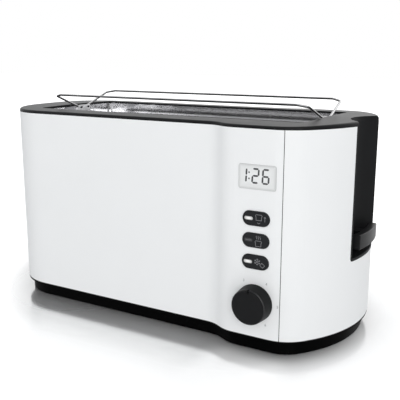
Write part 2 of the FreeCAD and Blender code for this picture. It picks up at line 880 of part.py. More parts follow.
def bread_guide(y):
    """Upright wires between two square bars, whose ends ride in the end plates."""
    bar_y = (y - guide_bar / 2, y + guide_bar / 2)
    past = sheet + guide_tab_past
    x = (chassis_left_x + sheet - past, chassis_right_x + past)
    low, high = guide_heights()
    pieces = [block(x, bar_y, (z, z + guide_bar)) for z in (low, high)]
    first = chassis_left_x + sheet + guide_end_gap
    last = chassis_right_x - guide_end_gap
    for number in range(guide_wire_count):
        wire_x = first + (last - first) * number / (guide_wire_count - 1)
        pieces.append(pin_z(guide_wire_radius, wire_x, y, (low + guide_bar / 2, high + guide_bar / 2)))
    return join(pieces)


# Carriage
def lifter_bar(side):
    """Toothed strip that carries the bread, with a neck through each end plate."""
    y = side * slot_y
    x = (slot_x0 + lifter_end_gap, slot_x1 - lifter_end_gap)
    low, high = lifter_z()
    strip = block(x, (y - lifter_half_width, y + lifter_half_width), (high, lifter_top))
    neck_y = (y - lifter_neck_half, y + lifter_neck_half)
    neck = block((chassis_left_x - sheet, carriage_x), neck_y, (low, high))
    pieces = [strip, neck]
    pitch = (x[1] - x[0] - tooth_length) / (tooth_count - 1)
    for number in range(tooth_count):
        tooth_x = x[0] + number * pitch
        for edge in (-1, 1):
            ends = sorted((y + edge * lifter_half_width, y + edge * (lifter_half_width - lifter_sheet)))
            tooth_z = (high, lifter_top + tooth_height)
            pieces.append(block((tooth_x, tooth_x + tooth_length), ends, tooth_z))
    return join(pieces)


def stem_z():
    return (lever_bottom + stem_margin, lever_bottom + lever_height - stem_margin)


def stem_end():
    return right_end - lever_thickness + lever_reach


def carriage_plate():
    """Upright plate behind the end plate, with the stem that carries the lever."""
    x = (carriage_x, carriage_x + carriage_sheet)
    z = (carriage_bottom, carriage_bottom + carriage_height)
    body = block(x, (-carriage_half_width, carriage_half_width), z)
    body = soften(body, V(1, 0, 0), carriage_corner)
    low, high = lifter_z()
    stem = block((x[0], stem_end()), (-stem_half, stem_half), stem_z())
    ears = []
    for side in (-1, 1):
        y = side * spring_half_spacing
        ears.append(block((x[0], rod_x + spring_radius), (y - spring_radius, y + spring_radius),
                          (z[0] + ear_height, z[0] + ear_height + ear_sheet)))
    tab = block((x[0], x[1]), (-armature_half, armature_half), (z[0] - armature_height, z[0] + sunk))
    holes = []
    for side in (-1, 1):
        middle = side * carriage_window_place
        y = (middle - carriage_window_half, middle + carriage_window_half)
        window_z = (high + carriage_window_margin, z[1] - carriage_window_margin)
        hole = block((x[0] - over, x[1] + over), y, window_z)
        holes.append(soften(hole, V(1, 0, 0), carriage_window_corner))
    return join([body, stem, tab] + ears).cut(holes)


def carriage_bushes():
    """Two moulded bushes that run on the guide rods."""
    solids = []
    z = (carriage_bottom + bush_margin, carriage_bottom + carriage_height - bush_top_gap)
    for side in (-1, 1):
        y = side * rod_half_spacing
        body = block((carriage_x + carriage_sheet, carriage_x + carriage_sheet + bush_reach),
                     (y - bush_half_width, y + bush_half_width), z)
        body = soften(body, V(0, 0, 1), bush_corner)
        solids.append(body.cut(pin_z(rod_radius + running, rod_x, y, (0, FAR))))
    return Part.makeCompound(solids)


def guide_rods():
    solids = []
    for side in (-1, 1):
        z = (floor_z, top_bracket_z + bracket_sheet + rod_past)
        solids.append(pin_z(rod_radius, rod_x, side * rod_half_spacing, z))
    return Part.makeCompound(solids)


def rod_bracket():
    """Angle on the right end plate that holds the tops of the rods and springs."""
    x = (chassis_right_x + sheet, rod_x + spring_radius + bracket_margin)
    half = spring_half_spacing + spring_radius + bracket_margin
    top = block(x, (-half, half), (top_bracket_z, top_bracket_z + bracket_sheet))
    upright = (top_bracket_z - bracket_flange, top_bracket_z + bracket_sheet)
    flange = block((x[0], x[0] + bracket_sheet), (-bracket_flange_half, bracket_flange_half), upright)
    whole = top.fuse(flange).removeSplitter()
    holes = []
    for side in (-1, 1):
        holes.append(pin_z(rod_radius, rod_x, side * rod_half_spacing, (0, FAR)))
    return whole.cut(holes)


def return_springs():
    """Two tension springs, drawn as close-wound tubes from the carriage's ears to the bracket."""
    solids = []
    z = (carriage_bottom + ear_height + ear_sheet, top_bracket_z)
    for side in (-1, 1):
        y = side * spring_half_spacing
        tube = pin_z(spring_radius, rod_x, y, z)
        solids.append(tube.cut(pin_z(spring_radius - spring_wall, rod_x, y, (0, FAR))))
    return Part.makeCompound(solids)


def lever_handle():
    """Curved grip bar with a hub on the stem."""
    z = (lever_bottom, lever_bottom + lever_height)
    crest = right_end + lever_reach
    centre = V(crest - lever_face_radius, 0, z[0])
    inner_radius = lever_face_radius - lever_thickness
    turn = math.degrees(math.asin(lever_half_width / lever_face_radius))
    front = arc(centre, lever_face_radius, -turn, turn)
    turn = math.degrees(math.asin(lever_half_width / inner_radius))
    back = arc(centre, inner_radius, -turn, turn)
    ends = [Part.makeLine(front.Vertexes[n].Point, back.Vertexes[n].Point) for n in (0, -1)]
    bar = Part.Face(Part.Wire(Part.__sortEdges__([front, back] + ends)))
    bar = bar.extrude(V(0, 0, lever_height))
    bar = bar.makeFillet(lever_edge, bar.Edges)
    hub_z = (z[0] + hub_margin, z[1] - hub_margin)
    hub_start = scoop_x - scoop_radius + lever_back_gap
    hub = block((hub_start, crest - lever_thickness / 2), (-hub_half_width, hub_half_width), hub_z)
    whole = bar.fuse(soften(hub, V(0, 1, 0), lever_edge)).removeSplitter()
    low, high = stem_z()
    pocket = block((seam_x, stem_end()), (-stem_half, stem_half), (low, high))
    return whole.cut(pocket)


def latch_armature():
    """Steel plate under the carriage that the magnet holds down."""
    z = (carriage_bottom - 2 * armature_height, carriage_bottom - armature_height)
    x = (chassis_right_x + sheet + armature_place, carriage_x + carriage_sheet + armature_place)
    half = armature_half - armature_step
    return block(x, (-half, half), z)


def latch_magnet():
    """Coil on its core and yoke, fixed low on the right end plate."""
    high = carriage_bottom - 2 * armature_height - armature_gap
    low = high - magnet_height
    x0 = chassis_right_x + sheet
    across = (-magnet_half, magnet_half)
    yoke = block((x0, x0 + yoke_sheet), across, (low - yoke_base, high - yoke_to_face))
    base = block((x0, x0 + magnet_depth), across, (low - yoke_base, low))
    coil_x = x0 + magnet_depth / 2 + coil_offset
    coil = pin_z(magnet_half - coil_inset, coil_x, 0, (low, high - coil_to_face))
    core = pin_z(magnet_half / 2, coil_x, 0, (low, high))
    return join([yoke, base, coil, core])


# Controls
def display_window():
    front = panel_block(display_width, display_height, display_corner, display_middle,
                        (panel_y, panel_y + display_pane))
    flange = panel_block(display_width + 2 * display_flange, display_height + 2 * display_flange,
                         display_corner + display_flange, display_middle,
                         (panel_inside, panel_y + display_pane))
    return front.fuse(flange).removeSplitter()


def display_module():
    return panel_block(display_width + 2 * module_side, display_height + 2 * module_rim, display_corner,
                       display_middle, (panel_y + display_pane, board_y))


def button(z):
    """Pill-shaped key with a low crown, a collar behind the panel and a window for its lamp."""
    front = panel_y - button_proud
    cap = pill(button_width, button_height, controls_x, z, (front, panel_y + button_back))
    crown = (button_width ** 2 / 4 + button_crown ** 2) / (2 * button_crown)
    cap = cap.common(pin_z(crown, controls_x, front + crown, (z - button_height, z + button_height)))
    edges = [edge for edge in cap.Edges if edge.BoundBox.YMax < front + button_crown + hair]
    cap = cap.makeFillet(button_edge, edges)
    collar_y = (panel_y + sleeve_wall + running, panel_y + sleeve_wall + running + button_flange_sheet)
    collar = pill(button_width + 2 * button_flange, button_height + 2 * button_flange,
                  controls_x, z, collar_y)
    whole = cap.fuse(collar).removeSplitter()
    return whole.cut(pill(lamp_width, lamp_height, controls_x - lamp_offset, z, (-FAR, 0)))


def button_lamp(z):
    """Clear light guide that fills the key's window."""
    y = (panel_y - button_proud + button_crown, panel_y + button_back)
    return pill(lamp_width, lamp_height, controls_x - lamp_offset, z, y)


def key_carrier():
    """Moulded frame between panel and board that guides the three keys."""
    y = (panel_inside, board_y)
    frame = panel_block(carrier_width, carrier_height, carrier_corner, buttons_middle, y)
    side = button_flange + slide_gap
    pockets = []
    for z in button_heights():
        pockets.append(pill(button_width + 2 * side, button_height + 2 * side, controls_x, z,
                            (y[0] - over, y[1] + over)))
    return frame.cut(pockets)


def board_screw_places():
    places = []
    for x in (-1, 1):
        for z in (board_bottom + board_screw_inset, board_upper_screw):
            places.append((controls_x + x * (board_width / 2 - board_screw_inset), z))
    return places


def control_board():
    x = (controls_x - board_width / 2, controls_x + board_width / 2)
    board = block(x, (board_y, board_y + board_thickness), (board_bottom, board_top))
    holes = []
    for place_x, z in board_screw_places():
        holes.append(pin_y(screw_radius, place_x, z, (board_y - over, board_y + board_thickness + over)))
    return board.cut(holes)


def board_posts():
    """Moulded posts between the panel's inside and the corners of the board."""
    solids = []
    for x, z in board_screw_places():
        post = pin_y(screw_head_radius, x, z, (panel_inside, board_y))
        hole_y = (board_y - board_screw_reach, board_y + over)
        solids.append(post.cut(pin_y(screw_radius, x, z, hole_y)))
    return Part.makeCompound(solids)


def board_screws():
    solids = []
    for x, z in board_screw_places():
        back = board_y + board_thickness
        shank = pin_y(screw_radius, x, z, (board_y - board_screw_reach, back))
        head = pin_y(screw_head_radius, x, z, (back, back + screw_head_height))
        solids.append(shank.fuse(head).removeSplitter())
    return Part.makeCompound(solids)


def key_switches():
    """One small push switch behind each key."""
    solids = []
    half = switch_size / 2
    top = panel_y + button_back + button_travel + plunger_gap
    for z in button_heights():
        body = block((controls_x - half, controls_x + half), (board_y - switch_height, board_y),
                     (z - half, z + half))
        plunger = pin_y(switch_plunger_radius, controls_x, z, (top, board_y))
        solids.append(body.fuse(plunger).removeSplitter())
    return Part.makeCompound(solids)


def browning_pot():
    """Rotary control behind the knob."""
    case = pin_y(pot_radius, controls_x, knob_middle, (board_y - pot_depth, board_y))
    bush = pin_y(pot_bush_radius, controls_x, knob_middle, (panel_y + sleeve_wall + pot_bush_gap, board_y))
    bore = pin_y(shaft_radius + running, controls_x, knob_middle, (panel_y, board_y - pot_bore_end))
    return case.fuse(bush).removeSplitter().cut(bore)


def knob_y():
    """Back and front face of the knob."""
    return (panel_y - knob_gap, panel_y - knob_gap - knob_height)


def browning_shaft():
    back, front = knob_y()
    y = (front + knob_wall + knob_bore_end, board_y - pot_bore_end - running)
    return pin_y(shaft_radius, controls_x, knob_middle, y)


def browning_knob():
    """Tapered hollow knob with a rounded edge, a shallow dish and a pointer groove."""
    back, front = knob_y()
    low = knob_base_radius
    high = knob_face_radius
    edge = knob_edge
    k = math.sqrt(0.5)
    side = [V(0, back, 0), V(low, back, 0), V(high, front + edge, 0)]
    rim = [side[2], V(high - edge + edge * k, front + edge - edge * k, 0), V(high - edge, front, 0)]
    dish = [rim[2], V((high - edge) / 2, front + knob_dish * 0.75, 0), V(0, front + knob_dish, 0)]
    edges = [Part.makeLine(side[0], side[1]), Part.makeLine(side[1], side[2])]
    edges.append(Part.Arc(*rim).toShape())
    edges.append(Part.Arc(*dish).toShape())
    edges.append(Part.makeLine(dish[2], side[0]))
    solid = Part.Face(Part.Wire(edges)).revolve(V(0, 0, 0), V(0, 1, 0), 360)
    hollow = pin_y(high - knob_wall, 0, 0, (front + knob_wall + knob_dish, back))
    hollow = hollow.cut(pin_y(knob_hub_radius, 0, 0, (front, back)))
    bore = pin_y(shaft_radius, 0, 0, (front + knob_wall + knob_bore_end, back))
    groove_y = (front - over, front + knob_dish + pointer_depth)
    groove = block((-pointer_width / 2, pointer_width / 2), groove_y, (pointer_start, low + over))
    knob = solid.cut([hollow, bore, groove])
    knob.translate(V(controls_x, 0, knob_middle))
    return knob


# Electrics at the right end
def power_board():
    """Board with relay and terminals, standing off the right end plate."""
    x0 = chassis_right_x + sheet + power_board_gap
    y = (power_board_low, power_board_high)
    z = (power_board_bottom, power_board_top)
    pieces = [block((x0, x0 + board_thickness), y, z)]
    middle = (y[0] + y[1]) / 2
    face = x0 + board_thickness
    relay_y = (middle - relay_size / 2, middle + relay_size / 2)
    relay_z = (z[0] + relay_bottom, z[0] + relay_bottom + relay_length)
    pieces.append(block((face - sunk, face + relay_depth), relay_y, relay_z))
    terminal_y = (middle - terminal_half, middle + terminal_half)
    for number in range(terminal_count):
        low = z[1] - (number + 1) * terminal_pitch
        pieces.append(block((face - sunk, face + terminal_depth), terminal_y, (low, low + terminal_length)))
    for place_y in (y[0] + board_foot_inset, y[1] - board_foot_inset):
        for place_z in (z[0] + board_foot_inset, z[1] - board_foot_inset):
            foot_x = (chassis_right_x + sheet, x0 + sunk)
            pieces.append(pin_x(board_foot_radius, place_y, place_z, foot_x))
    return join(pieces)


def cord_gland():
    """Moulded bushing through the rear skin, with an open bore for a mains cord."""
    x = right_end - gland_to_right_end
    skin = -panel_y
    flange = pin_y(gland_flange_radius, x, gland_height, (skin, skin + gland_flange_thickness))
    edges = [edge for edge in flange.Edges if edge.BoundBox.YMin > skin + gland_round]
    flange = flange.makeFillet(gland_round, edges)
    body_y = (skin + gland_flange_thickness - gland_length, skin + sunk)
    body = pin_y(gland_body_radius, x, gland_height, body_y)
    collar_y = (skin - sleeve_wall - gland_collar_sheet, skin - sleeve_wall)
    collar = pin_y(gland_flange_radius - gland_collar_step, x, gland_height, collar_y)
    whole = join([flange, body, collar])
    return whole.cut(pin_y(gland_bore_radius, x, gland_height, (0, FAR)))


def build():
    """Every node of the toaster by name."""
    eject, reheat, defrost = button_heights()
    front_y, middle_y, rear_y = heater_places()
    rail = rack_rail()
    rear_reflector = reflector()
    guides = [bread_guide(y) for y, side in guide_places()]
    return {
        "main_sleeve": main_sleeve(),
        "end_cover": end_cover(),
        "top_plate": top_plate(),
        "lever_channel": lever_channel(),
        "base_plinth": base_plinth(),
        "base_screws": base_screws(),
        "feet": feet(),
        "crumb_tray": crumb_tray(),
        "crumb_tray_front": crumb_tray_front(),
        "cord_gland": cord_gland(),
        "slot_liner": slot_liner(),
        "rack_bracket_left": rack_bracket(bracket_left_x, 1),
        "rack_bracket_right": rack_bracket(bracket_right_x, -1),
        "rack_rail_front": mirror_y(rail),
        "rack_rail_rear": rail,
        "chassis_left": chassis_plate(chassis_left_x, -1),
        "chassis_right": chassis_plate(chassis_right_x, 1),
        "reflector_front": mirror_y(rear_reflector),
        "reflector_rear": rear_reflector,
        "heater_card_front": heater_card(front_y),
        "heater_card_middle": heater_card(middle_y),
        "heater_card_rear": heater_card(rear_y),
        "heater_ribbon_front": heater_ribbon(front_y),
        "heater_ribbon_middle": heater_ribbon(middle_y),
        "heater_ribbon_rear": heater_ribbon(rear_y),
        "bread_guide_front_outer": guides[0],
        "bread_guide_front_inner": guides[1],
        "bread_guide_rear_inner": guides[2],
        "bread_guide_rear_outer": guides[3],
        "lifter_bar_front": lifter_bar(-1),
        "lifter_bar_rear": lifter_bar(1),
        "carriage_plate": carriage_plate(),
        "carriage_bushes": carriage_bushes(),
        "guide_rods": guide_rods(),
        "rod_bracket": rod_bracket(),
        "return_springs": return_springs(),
        "lever_handle": lever_handle(),
        "latch_armature": latch_armature(),
        "latch_magnet": latch_magnet(),
        "display_window": display_window(),
        "display_module": display_module(),
        "button_eject": button(eject),
        "button_reheat": button(reheat),
        "button_defrost": button(defrost),
        "lamp_eject": button_lamp(eject),
        "lamp_reheat": button_lamp(reheat),
        "lamp_defrost": button_lamp(defrost),
        "key_carrier": key_carrier(),
        "control_board": control_board(),
        "board_posts": board_posts(),
        "board_screws": board_screws(),
        "key_switches": key_switches(),
        "browning_pot": browning_pot(),
        "browning_shaft": browning_shaft(),
        "browning_knob": browning_knob(),
        "power_board": power_board(),
    }


os.makedirs("parts", exist_ok=True)
for name, shape in build().items():
    shape.translate(V(-middle_x, -middle_y, 0))
    shape.exportStep("parts/" + name + ".step")
    print(name, len(shape.Solids), shape.isValid(), round(shape.Volume, 1))
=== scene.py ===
import json
import math
from functools import partial

import bmesh
import bpy
from bpy.props import FloatProperty, FloatVectorProperty, IntProperty, PointerProperty, StringProperty
from mathutils import Matrix, Vector


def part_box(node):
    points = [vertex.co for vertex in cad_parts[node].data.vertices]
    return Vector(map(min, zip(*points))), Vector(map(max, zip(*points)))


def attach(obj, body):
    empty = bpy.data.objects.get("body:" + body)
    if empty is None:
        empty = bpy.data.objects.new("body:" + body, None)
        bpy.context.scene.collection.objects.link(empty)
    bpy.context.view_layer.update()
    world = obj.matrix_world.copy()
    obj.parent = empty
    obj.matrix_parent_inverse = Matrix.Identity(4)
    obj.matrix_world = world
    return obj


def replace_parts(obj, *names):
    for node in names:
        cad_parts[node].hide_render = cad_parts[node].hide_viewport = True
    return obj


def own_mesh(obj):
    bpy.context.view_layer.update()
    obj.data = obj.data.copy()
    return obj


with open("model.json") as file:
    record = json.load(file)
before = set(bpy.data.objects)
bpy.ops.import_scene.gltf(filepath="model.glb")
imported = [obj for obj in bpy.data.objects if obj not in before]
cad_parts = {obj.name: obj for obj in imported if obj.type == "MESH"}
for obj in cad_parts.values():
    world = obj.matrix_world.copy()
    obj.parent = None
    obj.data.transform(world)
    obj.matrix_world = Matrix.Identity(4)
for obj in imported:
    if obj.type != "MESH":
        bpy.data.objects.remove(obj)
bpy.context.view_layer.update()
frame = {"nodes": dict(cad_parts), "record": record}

bl_info = {
    "name": "Long Slot Toaster",
    "version": (1, 0, 0),
    "blender": (4, 5, 0),
    "location": "View3D > Sidebar > Toaster",
    "description": "Finishes, printed marks and studio for a long slot toaster",
    "category": "Object",
}

MM = 0.001


def middle(box, axis):
    """Middle of a box along one axis."""
    return (box[0][axis] + box[1][axis]) / 2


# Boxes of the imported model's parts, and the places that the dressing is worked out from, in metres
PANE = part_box("display_window")
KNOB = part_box("browning_knob")
KEYS = {name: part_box("button_" + name) for name in ("eject", "reheat", "defrost")}
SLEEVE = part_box("main_sleeve")
PANEL_Y = PANE[0][1]
CONTROLS_X = middle(KNOB, 0)
KEY_CROWN_RADIUS = 221.8 * MM

# Where a finish changes on a piece, in millimetres; the lamp's offset is from its key's middle, to the left
# Width of the seam's gap, which gets painted shade in the enamel, and its blend
SEAM_GAP = 0.5
SEAM_BLEND = 0.02
# Height of the band of painted shade along the shell's lower edge, and its blend
HEM_SHADE = 0.7
HEM_BLEND = 0.1
KNOB_FACE = 1.0
KNOB_TAPER = 1.0
KNOB_RUB = 1.0
PANE_BORDER = 1.0
LAMP_OFFSET = 6.5

# Middle of the slice signs, right of the key's, in millimetres; the knob's scale, in degrees
SLICE_X = 2.9
SCALE_START = 300
SCALE_STEP = 60

# The segments that are lit for each figure, a to f clockwise from the top and g in the middle
SEGMENTS = {"0": "abcdef", "1": "bc", "2": "abged", "3": "abgcd", "4": "fgbc", "5": "afgcd",
            "6": "afgedc", "7": "abc", "8": "abcdefg", "9": "abfgcd"}
DIGIT_SLANT = 0.055

# Edges that bend more than this stay sharp; steps in one turn of a spring and sides of its wire
SHARP_EDGE = math.radians(35)
SPRING_STEPS = 18
WIRE_SIDES = 8

# Half the floor's side in metres; in millimetres the corner of the body's plan, and how far off it the
# floor stops mirroring, with the width of that blend
FLOOR_HALF = 6
FLOOR_CELLS = 24
SLEEVE_CORNER = 70
MIRROR_END = (44, 56)
MIRROR_MOST = 0.74

# Painted light lifting the floor for the camera outside the mirroring, and in rings: distance and blend in
# millimetres, and lift
RING_START = 0.23
FLOOR_RINGS = ((100, 140, 0.37), (480, 500, 0.15), (1500, 1000, 0.25))

# Lamps: side of the square and place in metres
LAMPS = {"key": (3.0, (1.8, -2.45, 1.2)), "side": (1.6, (-1.7, -1.3, 0.8)),
         "top": (1.8, (-0.2, 0.2, 2.0)), "rear": (1.6, (0.7, 1.85, 0.9))}
LAMP_TARGET = (0, 0, 0.1)
DAYLIGHT = (0.97, 0.985, 1.0)


# Properties with what their kind shares
LengthProperty = partial(FloatProperty, unit="LENGTH")
AngleProperty = partial(FloatProperty, subtype="ANGLE")
PowerProperty = partial(FloatProperty, subtype="POWER")
ColourProperty = partial(FloatVectorProperty, subtype="COLOR", min=0, max=1)


class ToasterSizes(bpy.types.PropertyGroup):
    """Sizes of the marks and lines that are drawn on the toaster."""

    digit_height: LengthProperty(
        name="Digit height", description="Height of the figures on the display", default=13.1 * MM)
    digit_width: LengthProperty(
        name="Digit width", description="Width of one figure on the display", default=6.9 * MM)
    digit_pitch: LengthProperty(
        name="Digit pitch", description="Middle of one figure to the next", default=9.3 * MM)
    colon_room: LengthProperty(name="Colon room", description="Width kept for the colon", default=2.4 * MM)
    figures_rise: LengthProperty(
        name="Figures rise", description="Figures above the middle of the pane", default=0.95 * MM)
    one_shift: LengthProperty(
        name="Leading one", description="How much nearer the first 1 stands to the colon", default=0.6 * MM)
    segment: LengthProperty(name="Segment", description="Stroke width of the figures", default=1.5 * MM)
    ink: LengthProperty(
        name="Ink", description="How thick printed marks stand on a surface", default=0.04 * MM)
    symbol_line: LengthProperty(
        name="Symbol line", description="Line width of the signs on the keys", default=0.42 * MM)
    slice_width: LengthProperty(
        name="Slice width", description="Width of the slice signs on the keys", default=6.0 * MM)
    slice_height: LengthProperty(
        name="Slice height", description="Height of the slice signs on the keys", default=4.8 * MM)
    scale_radius: LengthProperty(
        name="Scale radius", description="Knob axis to the middle of a scale number", default=21.3 * MM)
    number_height: LengthProperty(
        name="Number height", description="Height of the scale numbers", default=3.4 * MM)
    spring_wire: LengthProperty(
        name="Spring wire", description="Thickness of the return springs' wire", default=1.1 * MM)
    screw_head: LengthProperty(name="Screw head", description="Radius of a screw's head", default=2.7 * MM)
    screw_rise: LengthProperty(name="Screw rise", description="Height of a screw's head", default=1.4 * MM)
    screw_shank: LengthProperty(
        name="Screw shank", description="Radius of a screw's ridged shank", default=1.4 * MM)
    screw_pitch: LengthProperty(
        name="Screw pitch", description="One ridge of a screw's shank to the next", default=0.9 * MM)
    foot_radius: LengthProperty(
        name="Foot radius", description="Radius of a foot where it meets the plinth", default=8.5 * MM)
    foot_taper: LengthProperty(
        name="Foot taper", description="How much smaller a foot's sole is", default=1.0 * MM)
    foot_groove: LengthProperty(
        name="Foot groove", description="Depth of the rings in a foot's sole", default=0.4 * MM)
    spring_turns: IntProperty(name="Spring turns", description="Turns of each return spring", default=38)
    top_number: IntProperty(name="Top number", description="Highest browning number on the scale", default=6)
    display_text: StringProperty(name="Display", description="Time that the display shows", default="1:26")


class ToasterColours(bpy.types.PropertyGroup):
    """Colours of the finishes."""

    shell: ColourProperty(
        name="Shell", description="White enamel of the sleeve and end cover", default=(0.86, 0.87, 0.875))
    black: ColourProperty(
        name="Black mouldings", description="Top plate, channel, lever and plinth",
        default=(0.0085, 0.0088, 0.0095))
    steel: ColourProperty(
        name="Bright steel", description="Liner, rods and brackets", default=(0.74, 0.74, 0.75))
    pane: ColourProperty(
        name="Display pane", description="Pale face of the display", default=(0.79, 0.80, 0.80))
    figures: ColourProperty(
        name="Figures", description="Dark figures on the display", default=(0.045, 0.047, 0.05))
    signs: ColourProperty(
        name="Signs", description="Pale signs printed on the keys", default=(0.20, 0.20, 0.21))
    scale: ColourProperty(
        name="Scale", description="Grey numbers round the knob", default=(0.32, 0.33, 0.34))
    floor: ColourProperty(name="Floor", description="Pale studio floor", default=(0.96, 0.96, 0.96))


class ToasterStudio(bpy.types.PropertyGroup):
    """Camera and lamps."""

    lens: FloatProperty(name="Lens", description="Focal length of the camera in millimetres", default=58.39)
    camera_place: FloatVectorProperty(
        name="Camera", description="Camera from the sleeve's left end, mid plane",
        default=(0.52935, -0.5652, 0.255), subtype="TRANSLATION")
    turn: AngleProperty(name="Turn", description="How far the camera looks to the left", default=0.52848)
    dip: AngleProperty(name="Dip", description="How far the camera looks down", default=0.22210)
    roll: AngleProperty(name="Roll", description="Roll of the camera", default=0.00095)
    sky: FloatProperty(name="Sky", description="Strength of the even light from all round", default=0.34)
    back_sky: FloatProperty(
        name="Back sky", description="How much brighter the even light is behind the toaster",
        default=2.1, min=0)
    key: PowerProperty(name="Key lamp", description="Power of the large lamp in front", default=68.0)
    side: PowerProperty(name="Side lamp", description="Power of the lamp on the left", default=4.5)
    top: PowerProperty(name="Top lamp", description="Power of the large lamp above", default=1.0)
    backdrop: FloatProperty(
        name="Backdrop", description="Strength of the white that shows behind", default=1.0)
    backdrop_edge: FloatProperty(
        name="Backdrop edge", description="Where the backdrop starts, as a share of straight back",
        default=0.45, min=-1, max=1)
    ceiling: FloatProperty(
        name="Ceiling", description="Share of the backdrop that glossy things see overhead",
        default=0.8, min=0, max=1)
    polish: FloatProperty(
        name="Floor polish", description="How much the floor mirrors near the toaster",
        default=1.7, min=0, max=3)
    floor_glow: FloatProperty(
        name="Floor glow", description="Lift of the plain floor for the camera", default=0.8)
    rear: PowerProperty(name="Rear lamp", description="Power of the lamp behind the toaster", default=9.0)


# Materials
class Value:
    """A socket in a node tree; sums on it add Math nodes."""

    def __init__(self, tree, socket):
        self.tree = tree
        self.socket = socket

    def maths(self, operation, *values, clamp=False):
        settings = {"operation": operation, "use_clamp": clamp}
        return self.tree.add("ShaderNodeMath", settings, dict(enumerate(values)))

    def __add__(self, other):
        return self.maths("ADD", self, other)

    def __sub__(self, other):
        return self.maths("SUBTRACT", self, other)

    def __rsub__(self, other):
        return self.maths("SUBTRACT", other, self)

    def __mul__(self, other):
        return self.maths("MULTIPLY", self, other)

    def __truediv__(self, other):
        return self.maths("DIVIDE", self, other)

    def __pow__(self, other):
        return self.maths("POWER", self, other)

    def __abs__(self):
        return self.maths("ABSOLUTE", self)

    __radd__ = __add__
    __rmul__ = __mul__

    def above(self, edge, soft):
        """1 where the value is over the edge, 0 where it is under it, blended over the soft width."""
        return self.maths("ADD", (self - edge) / soft, 0.5, clamp=True)

    def eased(self, edge, soft):
        """The same, with the blend eased at both ends."""
        share = self.above(edge, soft)
        return share * share * (3 - share * 2)

    def most(self, other):
        return self.maths("MAXIMUM", self, other)

    def least(self, other):
        return self.maths("MINIMUM", self, other)


class Tree:
    """Node tree of a material or of the world."""

    def __init__(self, owner):
        owner.use_nodes = True
        self.nodes = owner.node_tree.nodes
        self.links = owner.node_tree.links
        self.nodes.clear()

    def fill(self, socket, value):
        """Link a socket to a value, or set it to a number or a colour."""
        if isinstance(value, Value):
            self.links.new(value.socket, socket)
        elif socket.type == "RGBA":
            socket.default_value = (*value, 1)
        else:
            socket.default_value = value

    def add(self, kind, settings, inputs, output=0):
        """Add a node, settings first, then its inputs by name or number; None as output gives the node."""
        node = self.nodes.new(kind)
        for name, value in settings.items():
            setattr(node, name, value)
        for name, value in inputs.items():
            self.fill(node.inputs[name], value)
        return node if output is None else Value(self, node.outputs[output])

    def ray(self, kind):
        """1 for the named kind of ray, 0 for the others."""
        return self.add("ShaderNodeLightPath", {}, {}, "Is %s Ray" % kind)

    def axes(self, place):
        """The three parts of a position or direction."""
        node = self.add("ShaderNodeSeparateXYZ", {}, {0: place}, None)
        return [Value(self, socket) for socket in node.outputs]

    def mix(self, factor, low, high):
        """Blend of two colours, by the numbers of the Mix node's colour sockets."""
        return self.add("ShaderNodeMix", {"data_type": "RGBA"}, {0: factor, 6: low, 7: high}, 2)


class Finish(Tree):
    """A material round one Principled shader."""

    def __init__(self, name, **sockets):
        self.material = bpy.data.materials.new(name)
        super().__init__(self.material)
        self.shader = self.add("ShaderNodeBsdfPrincipled", {}, {}, None)
        surface = Value(self, self.shader.outputs["BSDF"])
        self.add("ShaderNodeOutputMaterial", {}, {"Surface": surface}, None)
        for socket, value in sockets.items():
            self.set(socket.replace("_", " ").title().replace("Ior", "IOR"), value)

    def set(self, socket, value):
        """Give one of the shader's sockets a constant or a link."""
        self.fill(self.shader.inputs[socket], value)
        return self

    def colour(self, factor, low, high):
        """Blend the base colour between two."""
        self.set("Base Color", self.mix(factor, low, high))

    def place(self):
        """Position on the object in millimetres."""
        raw = self.add("ShaderNodeTexCoord", {}, {}, "Object")
        return self.add("ShaderNodeVectorMath", {"operation": "SCALE"}, {0: raw, "Scale": 1 / MM})

    def stretched(self, x, y, z):
        """Position in millimetres with each axis scaled."""
        return self.add("ShaderNodeVectorMath", {"operation": "MULTIPLY"}, {0: self.place(), 1: (x, y, z)})

    def noise(self, size, detail=2.0, roughness=0.5, place=None):
        """Noise with features of about the given size in millimetres, centred on 0.5."""
        place = place or self.place()
        inputs = {"Vector": place, "Scale": 1 / size, "Detail": detail, "Roughness": roughness}
        return self.add("ShaderNodeTexNoise", {}, inputs)

    def cells(self, size, output="Distance", place=None):
        """Cells of about the given size in millimetres: how far their middles are, or a colour for each."""
        inputs = {"Vector": place or self.place(), "Scale": 1 / size}
        return self.add("ShaderNodeTexVoronoi", {}, inputs, output)

    def patches(self, size):
        """One number for each cell."""
        return self.add("ShaderNodeSeparateColor", {}, {0: self.cells(size, "Color")})

    def off_box(self, box, corner):
        """How far a point lies outside a box with rounded corners, seen from above, in millimetres."""
        parts = []
        for value, low, high in list(zip(self.axes(self.place()), *box))[:2]:
            straight = (high - low) / 2 / MM - corner
            parts.append((abs(value - (low + high) / 2 / MM) - straight).most(0) ** 2)
        return ((parts[0] + parts[1]) ** 0.5 - corner).most(0)

    def bump(self, height, depth):
        """Relief: the height runs from 0 to 1 and stands for the depth in millimetres."""
        return self.set("Normal", self.add("ShaderNodeBump", {}, {"Height": height, "Distance": depth * MM}))


def shade(colour, factor):
    """The colour made darker or lighter."""
    return tuple(min(1.0, part * factor) for part in colour)


def in_seam(finish):
    """1 in the gap between the sleeve and the end cover, where the shade in the seam is painted, 0 on their
    outsides.
    """
    x, y, z = finish.axes(finish.place())
    half = SEAM_GAP / 2
    return 1 - abs(x - SLEEVE[1][0] / MM - half).above(half + SEAM_BLEND, SEAM_BLEND)


def under_hem(finish):
    """1 on a band of painted shade along the shell's lower edge, 0 above it."""
    x, y, z = finish.axes(finish.place())
    return 1 - (z - SLEEVE[0][2] / MM).above(HEM_SHADE, HEM_BLEND)


